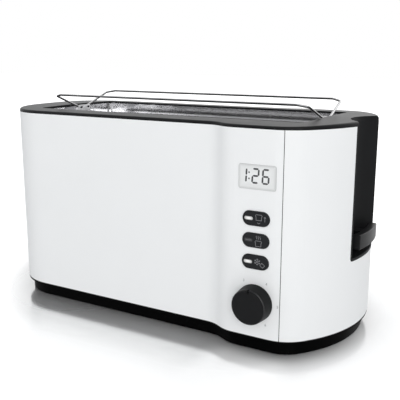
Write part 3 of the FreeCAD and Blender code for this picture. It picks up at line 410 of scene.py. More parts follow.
def enamel(colour):
    """White stoved enamel: faint orange peel under a clear gloss, with painted shade in the seam and along
    its lower edge.
    """
    seam_hem_shade = (0.02, 0.02, 0.02)
    finish = Finish("white_enamel", coat_weight=0.04, coat_roughness=0.16, specular_ior_level=0.14)
    cloud = finish.noise(60, detail=3)
    skin = finish.mix(cloud, shade(colour, 0.985), shade(colour, 1.012))
    # Painted shade: the seam's gap and a band along the lower edge are painted near black
    finish.colour(in_seam(finish).most(under_hem(finish)), skin, seam_hem_shade)
    finish.set("Roughness", 0.37 + finish.noise(14, detail=4) * 0.08)
    peel = finish.noise(1.6, detail=2) * 0.7 + finish.noise(5.5) * 0.3
    return finish.bump(peel, 0.035).material


def moulding(name, colour, grain, depth, rough, sheen=0.12):
    """Black plastic with a fine spark-eroded grain, whose size and depth are in millimetres."""
    finish = Finish(name, roughness=rough, specular_ior_level=sheen)
    cloud = finish.noise(24, detail=4, roughness=0.6)
    finish.colour(cloud, shade(colour, 0.8), shade(colour, 1.35))
    speck = finish.noise(grain, detail=3, roughness=0.65)
    finish.set("Roughness", rough - 0.05 + speck * 0.10 + (cloud - 0.5) * 0.06)
    return finish.bump(speck, depth).material


def knob_finish(colour):
    """Fine-grained black plastic whose front edge is rubbed glossy; its side is painted darker as painted
    shade.
    """
    finish = Finish("knob_moulding", coat_roughness=0.12, specular_ior_level=0.12)
    x, y, z = finish.axes(finish.place())
    radius = (KNOB[1][0] - KNOB[0][0]) / 2 / MM
    off = ((x - CONTROLS_X / MM) ** 2 + (z - middle(KNOB, 2) / MM) ** 2) ** 0.5
    side = (y - KNOB[0][1] / MM).above(KNOB_FACE, 0.5)
    edge = off.above(radius - KNOB_TAPER - KNOB_RUB, 0.5) * (1 - side)
    cloud = finish.noise(24, detail=4, roughness=0.6)
    speck = finish.noise(0.6, detail=3, roughness=0.65)
    skin = finish.mix(cloud, shade(colour, 1.1), shade(colour, 1.6))
    # The knob's side is painted darker as painted shade; it is also made rougher
    finish.colour(side * 0.4, skin, shade(colour, 0.3))
    finish.set("Roughness", 0.34 + speck * 0.08 + (cloud - 0.5) * 0.05 + side * 0.14 - edge * 0.12)
    finish.set("Coat Weight", edge * 0.5)
    return finish.bump(speck * (1 - edge), 0.014).material


def rubber():
    """Black rubber with a little dust in its pores."""
    clean, dusty = (0.016, 0.016, 0.016), (0.036, 0.035, 0.033)
    finish = Finish("foot_rubber", roughness=0.8)
    finish.colour(finish.noise(3.0, detail=5), clean, dusty)
    return finish.bump(finish.noise(0.5, detail=3), 0.06).material


def rolled_steel(name, colour, along, rough, streak):
    """Steel sheet or bar with rolling lines along one axis."""
    finish = Finish(name, metallic=1.0, roughness=rough)
    scale = [1.0, 1.0, 1.0]
    scale[along] = 0.02
    lines = finish.noise(0.35, detail=3, roughness=0.7, place=finish.stretched(*scale))
    cloud = finish.noise(26, detail=3)
    finish.colour(lines * 0.7 + cloud * 0.3, shade(colour, 0.9), shade(colour, 1.06))
    finish.set("Roughness", rough - 0.06 + lines * streak + cloud * 0.06)
    return finish.bump(lines, 0.01).material


def plated_steel(name, tone):
    """Zinc plated sheet with its faint spangle."""
    dull, bright = (0.46, 0.47, 0.49), (0.66, 0.67, 0.68)
    finish = Finish(name, metallic=1.0, roughness=0.36)
    spangle = finish.patches(5.0)
    cloud = finish.noise(18, detail=4)
    finish.colour(spangle * 0.5 + cloud * 0.5, shade(dull, tone), shade(bright, tone))
    finish.set("Roughness", 0.28 + spangle * 0.14 + cloud * 0.06)
    return finish.bump(spangle, 0.01).material


def chrome_wire():
    """Polished wire with faint drawing lines and a little tarnish; its underside is painted dark, as painted
    shade and a painted reflection of the black plate under it.
    """
    tarnished, polished = (0.50, 0.495, 0.495), (0.70, 0.70, 0.71)
    underside_shade_reflection = (0.045, 0.045, 0.047)
    finish = Finish("polished_wire", metallic=1.0, roughness=0.14)
    lines = finish.noise(0.4, detail=2, place=finish.stretched(0.03, 1, 1))
    bright = finish.mix(finish.noise(16, detail=4), tarnished, polished)
    facing = finish.axes(finish.add("ShaderNodeNewGeometry", {}, {}, "Normal"))
    # Downward faces painted dark: painted shade and a painted reflection of the black plate below
    finish.colour((0.4 - facing[2]).above(0.0, 0.7), bright, underside_shade_reflection)
    finish.set("Roughness", 0.08 + lines * 0.08)
    return finish.bump(lines, 0.006).material


def spring_wire():
    """Hard-drawn spring wire under a thin film of oil."""
    oiled, bare = (0.26, 0.26, 0.27), (0.60, 0.60, 0.61)
    finish = Finish("spring_wire", metallic=1.0, roughness=0.26)
    drawn = finish.noise(0.3, detail=2)
    finish.colour(finish.noise(5.0, detail=3), oiled, bare)
    finish.set("Roughness", 0.20 + drawn * 0.12)
    return finish.bump(drawn, 0.01).material


def mica():
    """Mottled mica sheet."""
    brown, pale = (0.30, 0.24, 0.17), (0.56, 0.49, 0.38)
    finish = Finish("mica_sheet", roughness=0.42)
    flake = finish.patches(3.2)
    finish.colour(flake * 0.6 + finish.noise(30, detail=4) * 0.4, brown, pale)
    finish.set("Roughness", 0.30 + flake * 0.25)
    return finish.bump(flake, 0.02).material


def heater_wire():
    """Resistance ribbon, blued and browned by heat."""
    browned, bare = (0.16, 0.13, 0.12), (0.42, 0.38, 0.35)
    finish = Finish("heater_ribbon", metallic=0.85, roughness=0.4)
    heat = finish.noise(22, detail=4)
    finish.colour(heat, browned, bare)
    finish.set("Roughness", 0.32 + heat * 0.2)
    return finish.material


def board_lacquer():
    """Green lacquer over copper tracks."""
    deep, light = (0.010, 0.075, 0.032), (0.016, 0.10, 0.045)
    over_copper = (0.035, 0.17, 0.07)
    finish = Finish("board_lacquer", roughness=0.3, coat_weight=0.4)
    track = finish.cells(4.0, place=finish.stretched(0.35, 1, 1)).above(0.45, 0.06)
    cloud = finish.noise(12, detail=3)
    finish.colour(track, finish.mix(cloud, deep, light), over_copper)
    finish.set("Roughness", 0.24 + cloud * 0.12)
    return finish.bump(track, 0.03).material


def display_face(colour):
    """Pale liquid crystal pane with a painted glow in its middle, darker towards its edge and along a rim as
    painted shade of its recess.
    """
    finish = Finish("display_pane", roughness=0.22, coat_weight=0.5, coat_roughness=0.08)
    place = finish.axes(finish.place())
    offs = []
    for axis in (0, 2):
        half = (PANE[1][axis] - PANE[0][axis]) / MM / 2 - PANE_BORDER
        offs.append(abs(place[axis] - middle(PANE, axis) / MM) - half)
    edge = offs[0].most(offs[1])
    # rim: a band of painted shade along the pane's edge; the bump also gives it a real step
    rim = edge.above(-1.3, 1.6)
    # Brighter middle, darker towards the edge: painted glow and painted shade
    face = finish.mix(edge.above(-6.0, 9.0), shade(colour, 1.12), shade(colour, 0.97))
    face = finish.mix(finish.noise(0.55, detail=1) * 0.35, face, shade(colour, 0.93))
    finish.colour(rim, face, shade(colour, 0.80))
    finish.set("Roughness", 0.20 + finish.noise(9) * 0.06)
    return finish.bump(rim, 0.15).material


def ink(name, colour, rough=0.45):
    """Printed mark with slightly uneven ink."""
    finish = Finish(name, roughness=rough)
    patch = finish.noise(0.8, detail=3)
    finish.colour(patch, shade(colour, 0.88), shade(colour, 1.1))
    finish.set("Roughness", rough - 0.06 + patch * 0.12)
    return finish.material


def from_key(finish, name):
    """How far a point lies from the middle of a key's light window, across and up, in millimetres."""
    x, y, z = finish.axes(finish.place())
    across = abs(x - middle(KEYS[name], 0) / MM + LAMP_OFFSET)
    return across, abs(z - middle(KEYS[name], 2) / MM)


def lit_lamp(name):
    """Clear light guide with a lamp on behind it: bright in the middle, softer at its rim."""
    half_width, half_height = 4.6, 2.0
    finish = Finish("lamp_on_" + name, roughness=0.3, coat_weight=0.4)
    across, up = from_key(finish, name)
    glow = (1 - (across / half_width) ** 2) * (1 - (up / half_height) ** 2)
    finish.colour(finish.noise(0.9), (0.09, 0.09, 0.09), (0.14, 0.14, 0.14))
    finish.set("Emission Color", finish.mix(glow, (0.02, 0.02, 0.02), (0.98, 0.98, 0.97)))
    finish.set("Emission Strength", 0.8)
    return finish.material


def dark_lamp(name):
    """Light guide with its lamp off: dark, with a thin lighter bar inside."""
    half_length, half_height = 2.7, 0.5
    finish = Finish("lamp_off", roughness=0.25, coat_weight=0.5)
    across, up = from_key(finish, name)
    bar = (1 - up.above(half_height, 0.5)) * (1 - across.above(half_length, 0.8))
    finish.colour(bar, (0.010, 0.010, 0.011), (0.09, 0.09, 0.095))
    return finish.bump(finish.noise(1.2), 0.02).material


# Mesh helpers
def collection():
    return bpy.context.scene.collection


def finished(obj, material, body):
    """Put a piece in the scene with its material, on its body."""
    obj.data.materials.clear()
    obj.data.materials.append(material)
    if obj.name not in collection().objects:
        collection().objects.link(obj)
    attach(obj, body)
    return obj


def dress(material, *names):
    """Give CAD nodes their finish."""
    for name in names:
        node = frame["nodes"][name]
        for slot in node.material_slots:
            slot.material = material


def mesh_object(name, bm, smooth=False):
    """Object from a working mesh, its faces turned outward."""
    mesh = bpy.data.meshes.new(name)
    bmesh.ops.recalc_face_normals(bm, faces=bm.faces)
    bm.to_mesh(mesh)
    bm.free()
    if smooth:
        mesh.shade_smooth()
        mesh.set_sharp_from_angle(angle=SHARP_EDGE)
    return bpy.data.objects.new(name, mesh)


def lofted(bm, rings):
    """Closed skin through rings of points; a ring may be a single point."""
    rings = [[bm.verts.new(point) for point in ring] for ring in rings]
    for ring, after in zip(rings, rings[1:]):
        for index in range(max(len(ring), len(after))):
            beside = index + 1
            corners = (ring[index % len(ring)], ring[beside % len(ring)],
                       after[beside % len(after)], after[index % len(after)])
            bm.faces.new(list(dict.fromkeys(corners)))
    for ring in (rings[0][::-1], rings[-1]):
        if len(ring) > 1:
            bm.faces.new(ring)


def circle(steps):
    """Directions round a full turn, as cosine and sine."""
    turns = [2 * math.pi * index / steps for index in range(steps)]
    return [(math.cos(turn), math.sin(turn)) for turn in turns]


def turned(bm, profile, place, steps=36):
    """Solid turned about its own axis from (radius, height) points, the first and last on the axis."""
    rings = []
    for radius, height in profile:
        ways = circle(steps if radius > 0 else 1)
        rings.append([place @ Vector((radius * c, radius * s, height)) for c, s in ways])
    lofted(bm, rings)


def carved(obj, tool):
    """The object with the tool's shape cut out of it; the tool is used up."""
    for part in (obj, tool):
        collection().objects.link(part)
    cut = obj.modifiers.new("cut", "BOOLEAN")
    cut.object = tool
    cut.solver = "EXACT"
    mesh = bpy.data.meshes.new_from_object(obj.evaluated_get(bpy.context.evaluated_depsgraph_get()))
    obj.modifiers.clear()
    obj.data = mesh
    bpy.data.objects.remove(tool)
    return obj


def add_plate(bm, outline, y, thickness):
    """Thin plate from an outline of (x, z) points, its face towards -Y."""
    lofted(bm, [[(x, level, z) for x, z in outline] for level in (y - thickness, y)])


def add_stroke(bm, points, width, y, thickness, closed=False):
    """Line of even width through (x, z) points, with mitred corners."""
    count = len(points)
    sides = []
    for index, point in enumerate(points):
        here = Vector(point)
        before = Vector(points[index - 1]) if index or closed else None
        after = Vector(points[(index + 1) % count]) if index < count - 1 or closed else None
        along = [(here - before).normalized()] if before is not None else []
        along += [(after - here).normalized()] if after is not None else []
        mean = sum(along, Vector((0, 0))).normalized()
        across = Vector((-mean.y, mean.x))
        spread = width / 2 / max(0.4, mean.dot(along[0]))
        sides.append((here + across * spread, here - across * spread))
    for index in range(count if closed else count - 1):
        a, b = sides[index], sides[(index + 1) % count]
        add_plate(bm, [a[0], b[0], b[1], a[1]], y, thickness)


def arc_points(x, z, radius, start, end, steps=7):
    """Points on an arc round (x, z) from one angle to another, in degrees."""
    turns = [math.radians(start + (end - start) * index / steps) for index in range(steps + 1)]
    return [(x + radius * math.cos(turn), z + radius * math.sin(turn)) for turn in turns]


def segment_outline(letter, width, height, stroke):
    """Outline of one of the seven segments, in a frame with its origin at the digit's middle."""
    half, gap = stroke / 2, stroke * 0.12
    w, h = width / 2 - half, height / 2 - half
    level = {"a": h, "g": 0, "d": -h}
    if letter in level:
        start, end, across = -w, w, level[letter]
    else:
        start, end = (0, h) if letter in "bf" else (-h, 0)
        across = w if letter in "bc" else -w
    start, end = start + gap, end - gap
    outline = [(start, across), (start + half, across + half), (end - half, across + half),
               (end, across), (end - half, across - half), (start + half, across - half)]
    return outline if letter in level else [(x, z) for z, x in outline]


# Operators
class TOASTER_OT_shell(bpy.types.Operator):
    """White enamel on the sleeve and the end cover"""

    bl_idname = "toaster.shell"
    bl_label = "Shell"

    def execute(self, context):
        dress(enamel(context.scene.toaster_colours.shell), "main_sleeve", "end_cover")
        return {"FINISHED"}


class TOASTER_OT_mouldings(bpy.types.Operator):
    """Black mouldings: top plate, lever channel, plinth, tray front, gland and inner mouldings"""

    bl_idname = "toaster.mouldings"
    bl_label = "Black mouldings"

    def execute(self, context):
        black = context.scene.toaster_colours.black
        # dark: the plinth's black, darker than the other mouldings, partly its own black and partly painted
        # shade under the shell
        dark, inner = shade(black, 0.14), shade(black, 2.2)
        top = moulding("top_moulding", black, grain=0.55, depth=0.025, rough=0.32, sheen=0.115)
        dress(top, "top_plate")
        dress(moulding("channel_moulding", black, grain=0.6, depth=0.03, rough=0.5), "lever_channel")
        dress(moulding("plinth_moulding", dark, grain=0.7, depth=0.03, rough=0.46, sheen=0.02),
              "base_plinth", "crumb_tray_front")
        dress(moulding("gland_moulding", black, grain=0.7, depth=0.03, rough=0.5), "cord_gland")
        dress(moulding("inner_moulding", inner, grain=0.8, depth=0.03, rough=0.55), "carriage_bushes",
              "display_module", "key_carrier", "board_posts", "key_switches", "browning_pot")
        return {"FINISHED"}


class TOASTER_OT_lever(bpy.types.Operator):
    """Lever grip"""

    bl_idname = "toaster.lever"
    bl_label = "Lever"

    def execute(self, context):
        black = context.scene.toaster_colours.black
        skin = moulding("lever_moulding", black, grain=0.5, depth=0.02, rough=0.34, sheen=0.13)
        dress(skin, "lever_handle")
        return {"FINISHED"}


class TOASTER_OT_rack(bpy.types.Operator):
    """Rack rails, guides, brackets and the liner under them"""

    bl_idname = "toaster.rack"
    bl_label = "Rack and liner"

    def execute(self, context):
        steel = context.scene.toaster_colours.steel
        dress(chrome_wire(), "rack_rail_front", "rack_rail_rear", "bread_guide_front_outer",
              "bread_guide_front_inner", "bread_guide_rear_inner", "bread_guide_rear_outer")
        liner = rolled_steel("liner_steel", shade(steel, 1.15), along=0, rough=0.13, streak=0.05)
        dress(liner, "slot_liner")
        bracket = rolled_steel("bracket_steel", steel, along=1, rough=0.28, streak=0.12)
        dress(bracket, "rack_bracket_left", "rack_bracket_right")
        return {"FINISHED"}


class TOASTER_OT_works(bpy.types.Operator):
    """Chassis, heaters, carriage, latch and electrics"""

    bl_idname = "toaster.works"
    bl_label = "Inner works"

    def execute(self, context):
        steel = context.scene.toaster_colours.steel
        dress(plated_steel("tray_sheet", tone=0.66), "crumb_tray")
        dress(plated_steel("plated_sheet", tone=1.0), "chassis_left", "chassis_right", "reflector_front",
              "reflector_rear", "lifter_bar_front", "lifter_bar_rear", "carriage_plate", "rod_bracket",
              "latch_armature", "base_screws", "board_screws", "browning_shaft")
        dress(rolled_steel("rod_steel", steel, along=2, rough=0.2, streak=0.1), "guide_rods", "latch_magnet")
        dress(mica(), "heater_card_front", "heater_card_middle", "heater_card_rear")
        dress(heater_wire(), "heater_ribbon_front", "heater_ribbon_middle", "heater_ribbon_rear")
        dress(board_lacquer(), "control_board", "power_board")
        return {"FINISHED"}


class TOASTER_OT_springs(bpy.types.Operator):
    """The two return springs, wound from wire"""

    bl_idname = "toaster.springs"
    bl_label = "Return springs"

    def execute(self, context):
        sizes = context.scene.toaster_sizes
        low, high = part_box("return_springs")
        outer = (high[0] - low[0]) / 2
        bm = bmesh.new()
        for y in (low[1] + outer, high[1] - outer):
            self.wind(bm, (low[0] + outer, y), outer, (low[2], high[2]), sizes)
        wire = spring_wire()
        dress(wire, "return_springs")
        coils = finished(mesh_object("return_coils", bm, smooth=True), wire, "housing")
        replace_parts(coils, "return_springs")
        joints = frame["record"]["behaviour"]["joints"]
        lift = next(joint for joint in joints if joint["name"] == "carriage_lift")
        closed = 1 - max(lift["range_m"]) / (high[2] - low[2])
        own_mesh(coils)
        return {"FINISHED"}

    def wind(self, bm, axis, outer, ends, sizes):
        """One coil of round wire between two heights, its end turns laid flat."""
        half = sizes.spring_wire / 2
        low, high = ends[0] + half, ends[1] - half
        turns, flat = sizes.spring_turns, 0.75
        section = circle(WIRE_SIDES)
        rings = []
        for index in range(turns * SPRING_STEPS + 1):
            share = index / (turns * SPRING_STEPS)
            rise = min(1, max(0, (share * turns - flat) / (turns - 2 * flat)))
            turn = 2 * math.pi * index / SPRING_STEPS
            out = Vector((math.cos(turn), math.sin(turn), 0))
            core = Vector((*axis, low + (high - low) * rise)) + out * (outer - half)
            rings.append([core + out * c * half + Vector((0, 0, half * s)) for c, s in section])
        lofted(bm, rings)


class TOASTER_OT_screws(bpy.types.Operator):
    """Cross-head screws of the plinth and of the control board"""

    bl_idname = "toaster.screws"
    bl_label = "Screws"

    def execute(self, context):
        sizes = context.scene.toaster_sizes
        steel = context.scene.toaster_colours.steel
        steel = rolled_steel("screw_steel", steel, along=2, rough=0.26, streak=0.1)
        head = sizes.screw_head
        low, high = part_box("base_screws")
        places = [Matrix.Translation((x, y, low[2])) for x in (low[0] + head, high[0] - head)
                  for y in (low[1] + head, high[1] - head)]
        self.screws("plinth_screws", places, high[2] - low[2], "base_screws", steel, sizes)
        low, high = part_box("board_screws")
        facing = Matrix.Rotation(math.pi / 2, 4, "X")
        places = [Matrix.Translation((x, high[1], z)) @ facing for x in (low[0] + head, high[0] - head)
                  for z in (low[2] + head, high[2] - head)]
        self.screws("panel_screws", places, high[1] - low[1], "board_screws", steel, sizes)
        return {"FINISHED"}

    def screws(self, name, places, length, node, steel, sizes):
        """Like screws as one piece: rounded head, cross recess, ridged shank with a blunt point."""
        head, shank, rise = sizes.screw_head, sizes.screw_shank, sizes.screw_rise
        root, tip = shank * 0.76, shank * 0.3
        profile = [(0, 0), (head * 0.72, 0), (head * 0.92, rise * 0.16), (head, rise * 0.45), (head, rise)]
        pitch = sizes.screw_pitch
        ridges = int((length - rise - 1.5 * pitch) / pitch)
        for number in range(ridges):
            start = rise + number * pitch
            profile += [(root, start), (root, start + pitch * 0.4), (shank, start + pitch * 0.7)]
        profile += [(root, length - 1.4 * pitch), (tip, length), (0, length)]
        bodies, crosses = bmesh.new(), bmesh.new()
        arm, half = head * 0.56, head * 0.13
        cross = [(half, half), (half, arm), (-half, arm)]
        for quarter in range(3):
            cross += [(-y, x) for x, y in cross[-3:]]
        for place in places:
            turned(bodies, profile, place)
            ends = (-rise, rise * 0.62)
            lofted(crosses, [[place @ Vector((x, y, z)) for x, y in cross] for z in ends])
        screws = carved(mesh_object(name, bodies, smooth=True), mesh_object("cross_tool", crosses))
        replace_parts(finished(screws, steel, "housing"), node)


class TOASTER_OT_feet(bpy.types.Operator):
    """Rubber feet with ringed treads"""

    bl_idname = "toaster.feet"
    bl_label = "Feet"

    def execute(self, context):
        sizes = context.scene.toaster_sizes
        low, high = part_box("feet")
        outer, height, groove = sizes.foot_radius, high[2] - low[2], sizes.foot_groove
        sole = outer - sizes.foot_taper
        profile = [(0, groove)]
        for edge in (0.24, 0.48, 0.72):
            inner = sole * edge
            profile += [(inner, groove), (inner + groove, 0)]
            profile += [(inner + groove * 2.2, 0), (inner + groove * 3.2, groove)]
        profile += [(sole - groove * 3, groove), (sole - groove * 2, 0), (sole - groove * 0.4, 0),
                    (sole, groove * 0.4), (outer, height), (0, height)]
        bm = bmesh.new()
        for x in (low[0] + outer, high[0] - outer):
            for y in (low[1] + outer, high[1] - outer):
                turned(bm, profile, Matrix.Translation((x, y, low[2])), steps=56)
        skin = rubber()
        dress(skin, "feet")
        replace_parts(finished(mesh_object("ringed_feet", bm, smooth=True), skin, "housing"), "feet")
        return {"FINISHED"}


class TOASTER_OT_display(bpy.types.Operator):
    """Display pane and its figures"""

    bl_idname = "toaster.display"
    bl_label = "Display"

    def execute(self, context):
        colours = context.scene.toaster_colours
        sizes = context.scene.toaster_sizes
        dress(display_face(colours.pane), "display_window")
        bm = bmesh.new()
        middle_z = middle(PANE, 2) + sizes.figures_rise
        text = sizes.display_text
        advance = [sizes.colon_room if sign == ":" else sizes.digit_pitch for sign in text]
        blank = (sizes.digit_pitch - sizes.digit_width) / 2
        first = advance[0] - blank - sizes.segment if text[0] == "1" else blank
        left = CONTROLS_X - (first + sum(advance) - blank) / 2
        for sign, room in zip(text, advance):
            x = left + room / 2
            left += room
            if sign == ":":
                self.dots(bm, sizes, x, middle_z)
                continue
            for letter in SEGMENTS[sign]:
                outline = segment_outline(letter, sizes.digit_width, sizes.digit_height, sizes.segment)
                home = x + sizes.one_shift if sign == "1" else x
                outline = [(home + px + pz * DIGIT_SLANT, middle_z + pz) for px, pz in outline]
                add_plate(bm, outline, PANEL_Y, sizes.ink)
        figures = mesh_object("display_figures", bm)
        finished(figures, ink("figure_ink", colours.figures, 0.3), "housing")
        return {"FINISHED"}

    def dots(self, bm, sizes, x, z):
        """The two square dots of the colon."""
        half = sizes.segment * 0.42
        for side in (-1, 1):
            dot = z + side * sizes.digit_height * 0.2
            corners = ((-half, -half), (half, -half), (half, half), (-half, half))
            add_plate(bm, placed(corners, (x, dot)), PANEL_Y, sizes.ink)


def slice_outline(width, height):
    """Outline of a slice sign round its middle: square foot, two lobes at its crown."""
    half = width / 2
    lobe = width * 0.17
    waist = half - lobe * 0.55
    crown = height / 2 - lobe
    points = [(-waist, -height / 2), (waist, -height / 2)]
    points += arc_points(half - lobe, crown, lobe, -60, 110)
    return points + arc_points(lobe - half, crown, lobe, 70, 240)


def placed(points, home, turn=0.0):
    """Points turned by an angle in degrees and moved to their home."""
    c, s = math.cos(math.radians(turn)), math.sin(math.radians(turn))
    return [(home[0] + x * c - z * s, home[1] + x * s + z * c) for x, z in points]


class TOASTER_OT_keys(bpy.types.Operator):
    """The three keys, their light windows and printed signs"""

    bl_idname = "toaster.keys"
    bl_label = "Keys"

    def execute(self, context):
        colours = context.scene.toaster_colours
        sizes = context.scene.toaster_sizes
        skin = moulding("key_moulding", shade(colours.black, 2), grain=0.7, depth=0.008, rough=0.3)
        dress(skin, *("button_" + name for name in KEYS))
        for name, lamp in (("eject", lit_lamp), ("defrost", lit_lamp), ("reheat", dark_lamp)):
            dress(lamp(name), "lamp_" + name)
        sign_ink = ink("sign_ink", colours.signs, 0.4)
        for name, draw in (("eject", self.eject), ("reheat", self.reheat), ("defrost", self.defrost)):
            home = (middle(KEYS[name], 0), middle(KEYS[name], 2))
            bm = bmesh.new()
            for points, closed in draw(sizes):
                points = placed([(x * MM, z * MM) for x, z in points], home)
                add_stroke(bm, points, sizes.symbol_line, 0, sizes.ink, closed)
            self.lay_on_key(bm, KEYS[name][0][1])
            finished(mesh_object("sign_" + name, bm), sign_ink, name + "_key")
        return {"FINISHED"}

    def lay_on_key(self, bm, front):
        """Bend the flat sign to the key's low crown."""
        for vert in bm.verts:
            off = vert.co.x - CONTROLS_X
            vert.co.y += front + off ** 2 / (2 * KEY_CROWN_RADIUS)

    def slice(self, sizes, share=1.0):
        """Outline of a slice sign in millimetres."""
        return slice_outline(sizes.slice_width / MM * share, sizes.slice_height / MM * share)

    def eject(self, sizes):
        """Slice with an arrow up beside it and a wedge under it, in millimetres from the key's middle."""
        side, rise = 8.4, 0.3
        return [(placed(self.slice(sizes), (SLICE_X, 1.4)), True),
                ([(side, rise - 2.1), (side, rise + 2.1)], False),
                ([(side - 0.9, rise + 1.1), (side, rise + 2.1), (side + 0.9, rise + 1.1)], False),
                ([(1.6, -3.0), (SLICE_X, -3.9), (4.2, -3.0)], False)]

    def reheat(self, sizes):
        """Slice with three lines of warm air above it."""
        strokes = [(placed(self.slice(sizes), (SLICE_X, -2.2)), True)]
        foot, height, spacing, steps = 1.5, 2.9, 1.7, 8
        for number in (-1, 0, 1):
            wave = []
            for index in range(steps + 1):
                bend = math.sin(index / steps * 2 * math.pi) * 0.3
                wave.append((SLICE_X + number * spacing + bend, foot + index / steps * height))
            strokes.append((wave, False))
        return strokes

    def defrost(self, sizes):
        """Snow crystal with a small slice beside it."""
        strokes = [(placed(self.slice(sizes, 0.62), (6.9, -1.9), -38), True)]
        home, arm, barb = (2.3, 0.7), [(0.35, 0), (2.9, 0)], [(2.5, 0.75), (1.7, 0), (2.5, -0.75)]
        for turn in range(30, 360, 60):
            strokes += [(placed(arm, home, turn), False), (placed(barb, home, turn), False)]
        return strokes


class TOASTER_OT_knob(bpy.types.Operator):
    """Browning knob and the numbers round it"""

    bl_idname = "toaster.knob"
    bl_label = "Knob and scale"

    def execute(self, context):
        colours = context.scene.toaster_colours
        sizes = context.scene.toaster_sizes
        dress(knob_finish(shade(colours.black, 0.8)), "browning_knob")
        scale_ink = ink("scale_ink", colours.scale)
        for number in range(1, sizes.top_number + 1):
            turn = math.radians(SCALE_START - SCALE_STEP * number)
            x = CONTROLS_X + sizes.scale_radius * math.cos(turn)
            z = middle(KNOB, 2) + sizes.scale_radius * math.sin(turn)
            self.print_number(str(number), x, z, sizes, scale_ink)
        return {"FINISHED"}

    def print_number(self, text, x, z, sizes, material):
        """One number as a thin raised print on the panel."""
        curve = bpy.data.curves.new("number", "FONT")
        curve.body = text
        curve.size = sizes.number_height
        curve.align_x = "CENTER"
        curve.align_y = "CENTER"
        curve.extrude = sizes.ink / 2
        letter = bpy.data.objects.new("number_source", curve)
        collection().objects.link(letter)
        mesh = bpy.data.meshes.new_from_object(letter.evaluated_get(bpy.context.evaluated_depsgraph_get()))
        bpy.data.objects.remove(letter)
        place = Matrix.Translation((x, PANEL_Y - sizes.ink / 2, z)) @ Matrix.Rotation(math.pi / 2, 4, "X")
        mesh.transform(place)
        finished(bpy.data.objects.new("scale_number_" + text, mesh), material, "housing")


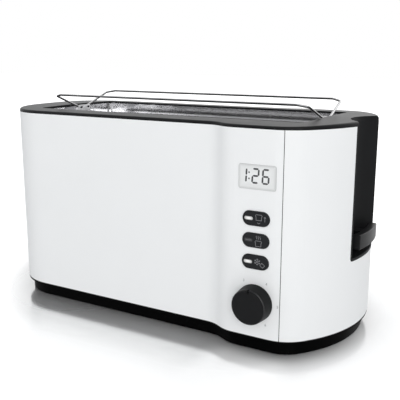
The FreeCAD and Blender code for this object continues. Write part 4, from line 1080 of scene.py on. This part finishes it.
class TOASTER_OT_stage(bpy.types.Operator):
    """Floor, backdrop, lamps, sky and camera"""

    bl_idname = "toaster.stage"
    bl_label = "Studio"

    def execute(self, context):
        studio = context.scene.toaster_studio
        self.floor(context, studio)
        self.sky(context, studio)
        for name, (size, place) in LAMPS.items():
            self.lamp(name + "_lamp", getattr(studio, name), size, place)
        self.camera(context, studio)
        context.scene.view_settings.view_transform = "Standard"
        return {"FINISHED"}

    def floor(self, context, studio):
        """Pale floor, glossy near the toaster, that meets the white behind it."""
        bm = bmesh.new()
        bmesh.ops.create_grid(bm, x_segments=FLOOR_CELLS, y_segments=FLOOR_CELLS, size=FLOOR_HALF)
        floor = mesh_object("studio_floor", bm)
        finish = Finish("floor_finish", specular_ior_level=0.1)
        colour = context.scene.toaster_colours.floor
        cloud = finish.noise(400, detail=2)
        finish.colour(cloud, shade(colour, 0.99), shade(colour, 1.01))
        far = finish.off_box(SLEEVE, SLEEVE_CORNER)
        near = 1 - far.eased(*MIRROR_END) * 0.98
        facing = finish.add("ShaderNodeLayerWeight", {}, {"Blend": 0.5}, "Facing")
        finish.set("Metallic", near * (facing ** 1.8 * studio.polish).least(MIRROR_MOST))
        finish.set("Roughness", 0.13 + cloud * 0.04)
        # The floor glows for the camera by the lift: painted light
        finish.set("Emission Color", finish.mix(self.lift(finish, far, near), (0, 0, 0), (1, 1, 1)))
        finish.set("Emission Strength", studio.floor_glow)
        floor.data.materials.append(finish.material)
        collection().objects.link(floor)

    def lift(self, finish, far, near):
        """Light painted on the floor for the camera: it grows in rings away from the body, with painted
        light pools at the left front and before the controls that thin the shadow there.
        """
        lift = (1 - near) * RING_START
        for edge, soft, amount in FLOOR_RINGS:
            lift = lift + far.eased(edge, soft) * amount
        x, y, z = finish.axes(finish.place())
        # Painted light pool at the left front, which thins the toaster's shadow there
        left_front_light_pool = (SLEEVE[0][0] / MM - x) * 0.72 + (middle(SLEEVE, 1) / MM - y) * 0.70
        lift = lift + left_front_light_pool.eased(46, 44) * (1 - far.eased(300, 300)) * 0.38
        # Painted light pool on the floor before the controls, which thins the shadow there
        ahead = SLEEVE[0][1] / MM - y
        controls_light_pool = 1 - abs(x - CONTROLS_X / MM).eased(34, 30)
        lift = lift + controls_light_pool * ahead.eased(4, 24) * (1 - ahead.eased(50, 60)) * 0.25
        return lift * finish.ray("Camera")

    def sky(self, context, studio):
        """Even light, brighter behind; the camera, and glossy rays back or up, see the white backdrop."""
        world = bpy.data.worlds.new("studio_sky")
        context.scene.world = world
        tree = Tree(world)
        x, y, z = tree.axes(tree.add("ShaderNodeTexCoord", {}, {}, "Generated"))
        behind = (x * 0.34 + y * 0.94).eased(studio.backdrop_edge, 0.9)
        glossy = tree.ray("Glossy") * behind.most(z.eased(0.72, 0.4) * studio.ceiling)
        seen = tree.ray("Camera").most(tree.ray("Transmission")).most(glossy)
        left_back = (y * 0.75 - x * 0.66).eased(0.0, 0.9)
        front = self.light(tree, DAYLIGHT, studio.sky)
        back = self.light(tree, DAYLIGHT, studio.sky * studio.back_sky)
        plain = tree.add("ShaderNodeMixShader", {}, {0: left_back, 1: front, 2: back})
        white = self.light(tree, (1, 1, 1), studio.backdrop)
        both = tree.add("ShaderNodeMixShader", {}, {0: seen, 1: plain, 2: white})
        tree.add("ShaderNodeOutputWorld", {}, {"Surface": both}, None)

    def light(self, tree, colour, strength):
        return tree.add("ShaderNodeBackground", {}, {"Color": colour, "Strength": strength})

    def lamp(self, name, power, size, place):
        """Square lamp that looks at the toaster."""
        data = bpy.data.lights.new(name, "AREA")
        data.energy = power
        data.shape = "SQUARE"
        data.size = size
        lamp = bpy.data.objects.new(name, data)
        lamp.location = place
        lamp.rotation_mode = "QUATERNION"
        lamp.rotation_quaternion = (Vector(LAMP_TARGET) - Vector(place)).to_track_quat("-Z", "Y")
        collection().objects.link(lamp)

    def camera(self, context, studio):
        """Camera, placed from the sleeve's left end."""
        data = bpy.data.cameras.new("studio_camera")
        data.sensor_width = 36.0
        data.lens = studio.lens
        data.clip_start = 0.01
        data.clip_end = 50.0
        camera = bpy.data.objects.new("studio_camera", data)
        a, e = studio.turn, studio.dip
        ahead = Vector((-math.sin(a) * math.cos(e), math.cos(a) * math.cos(e), -math.sin(e)))
        right = Vector((math.cos(a), math.sin(a), 0))
        turn = Matrix((right, right.cross(ahead), -ahead)).transposed().to_4x4()
        roll = Matrix.Rotation(studio.roll, 4, "Z")
        base = Vector((SLEEVE[0][0], middle(SLEEVE, 1), 0))
        camera.matrix_world = Matrix.Translation(base + Vector(studio.camera_place)) @ turn @ roll
        collection().objects.link(camera)
        context.scene.camera = camera


class TOASTER_PT_panel(bpy.types.Panel):
    """The toaster's steps in the sidebar"""

    bl_idname = "TOASTER_PT_panel"
    bl_label = "Toaster"
    bl_space_type = "VIEW_3D"
    bl_region_type = "UI"
    bl_category = "Toaster"

    def draw(self, context):
        for step in STEPS:
            self.layout.operator(step.bl_idname)
        for group, kind in GROUPS.items():
            box = self.layout.box()
            for name in kind.__annotations__:
                box.prop(getattr(context.scene, group), name)


GROUPS = {"toaster_sizes": ToasterSizes, "toaster_colours": ToasterColours, "toaster_studio": ToasterStudio}
STEPS = (TOASTER_OT_stage, TOASTER_OT_shell, TOASTER_OT_mouldings, TOASTER_OT_lever, TOASTER_OT_rack,
         TOASTER_OT_works, TOASTER_OT_springs, TOASTER_OT_screws, TOASTER_OT_feet, TOASTER_OT_display,
         TOASTER_OT_keys, TOASTER_OT_knob)
KINDS = (*GROUPS.values(), *STEPS, TOASTER_PT_panel)


def register():
    for kind in KINDS:
        bpy.utils.register_class(kind)
    for group, kind in GROUPS.items():
        setattr(bpy.types.Scene, group, PointerProperty(type=kind))


def unregister():
    for group in GROUPS:
        delattr(bpy.types.Scene, group)
    for kind in reversed(KINDS):
        bpy.utils.unregister_class(kind)


def main():
    """Dress the toaster step by step."""
    register()
    for step in STEPS:
        getattr(bpy.ops.toaster, step.bl_idname.split(".")[1])()


if __name__ == "__main__":
    main()
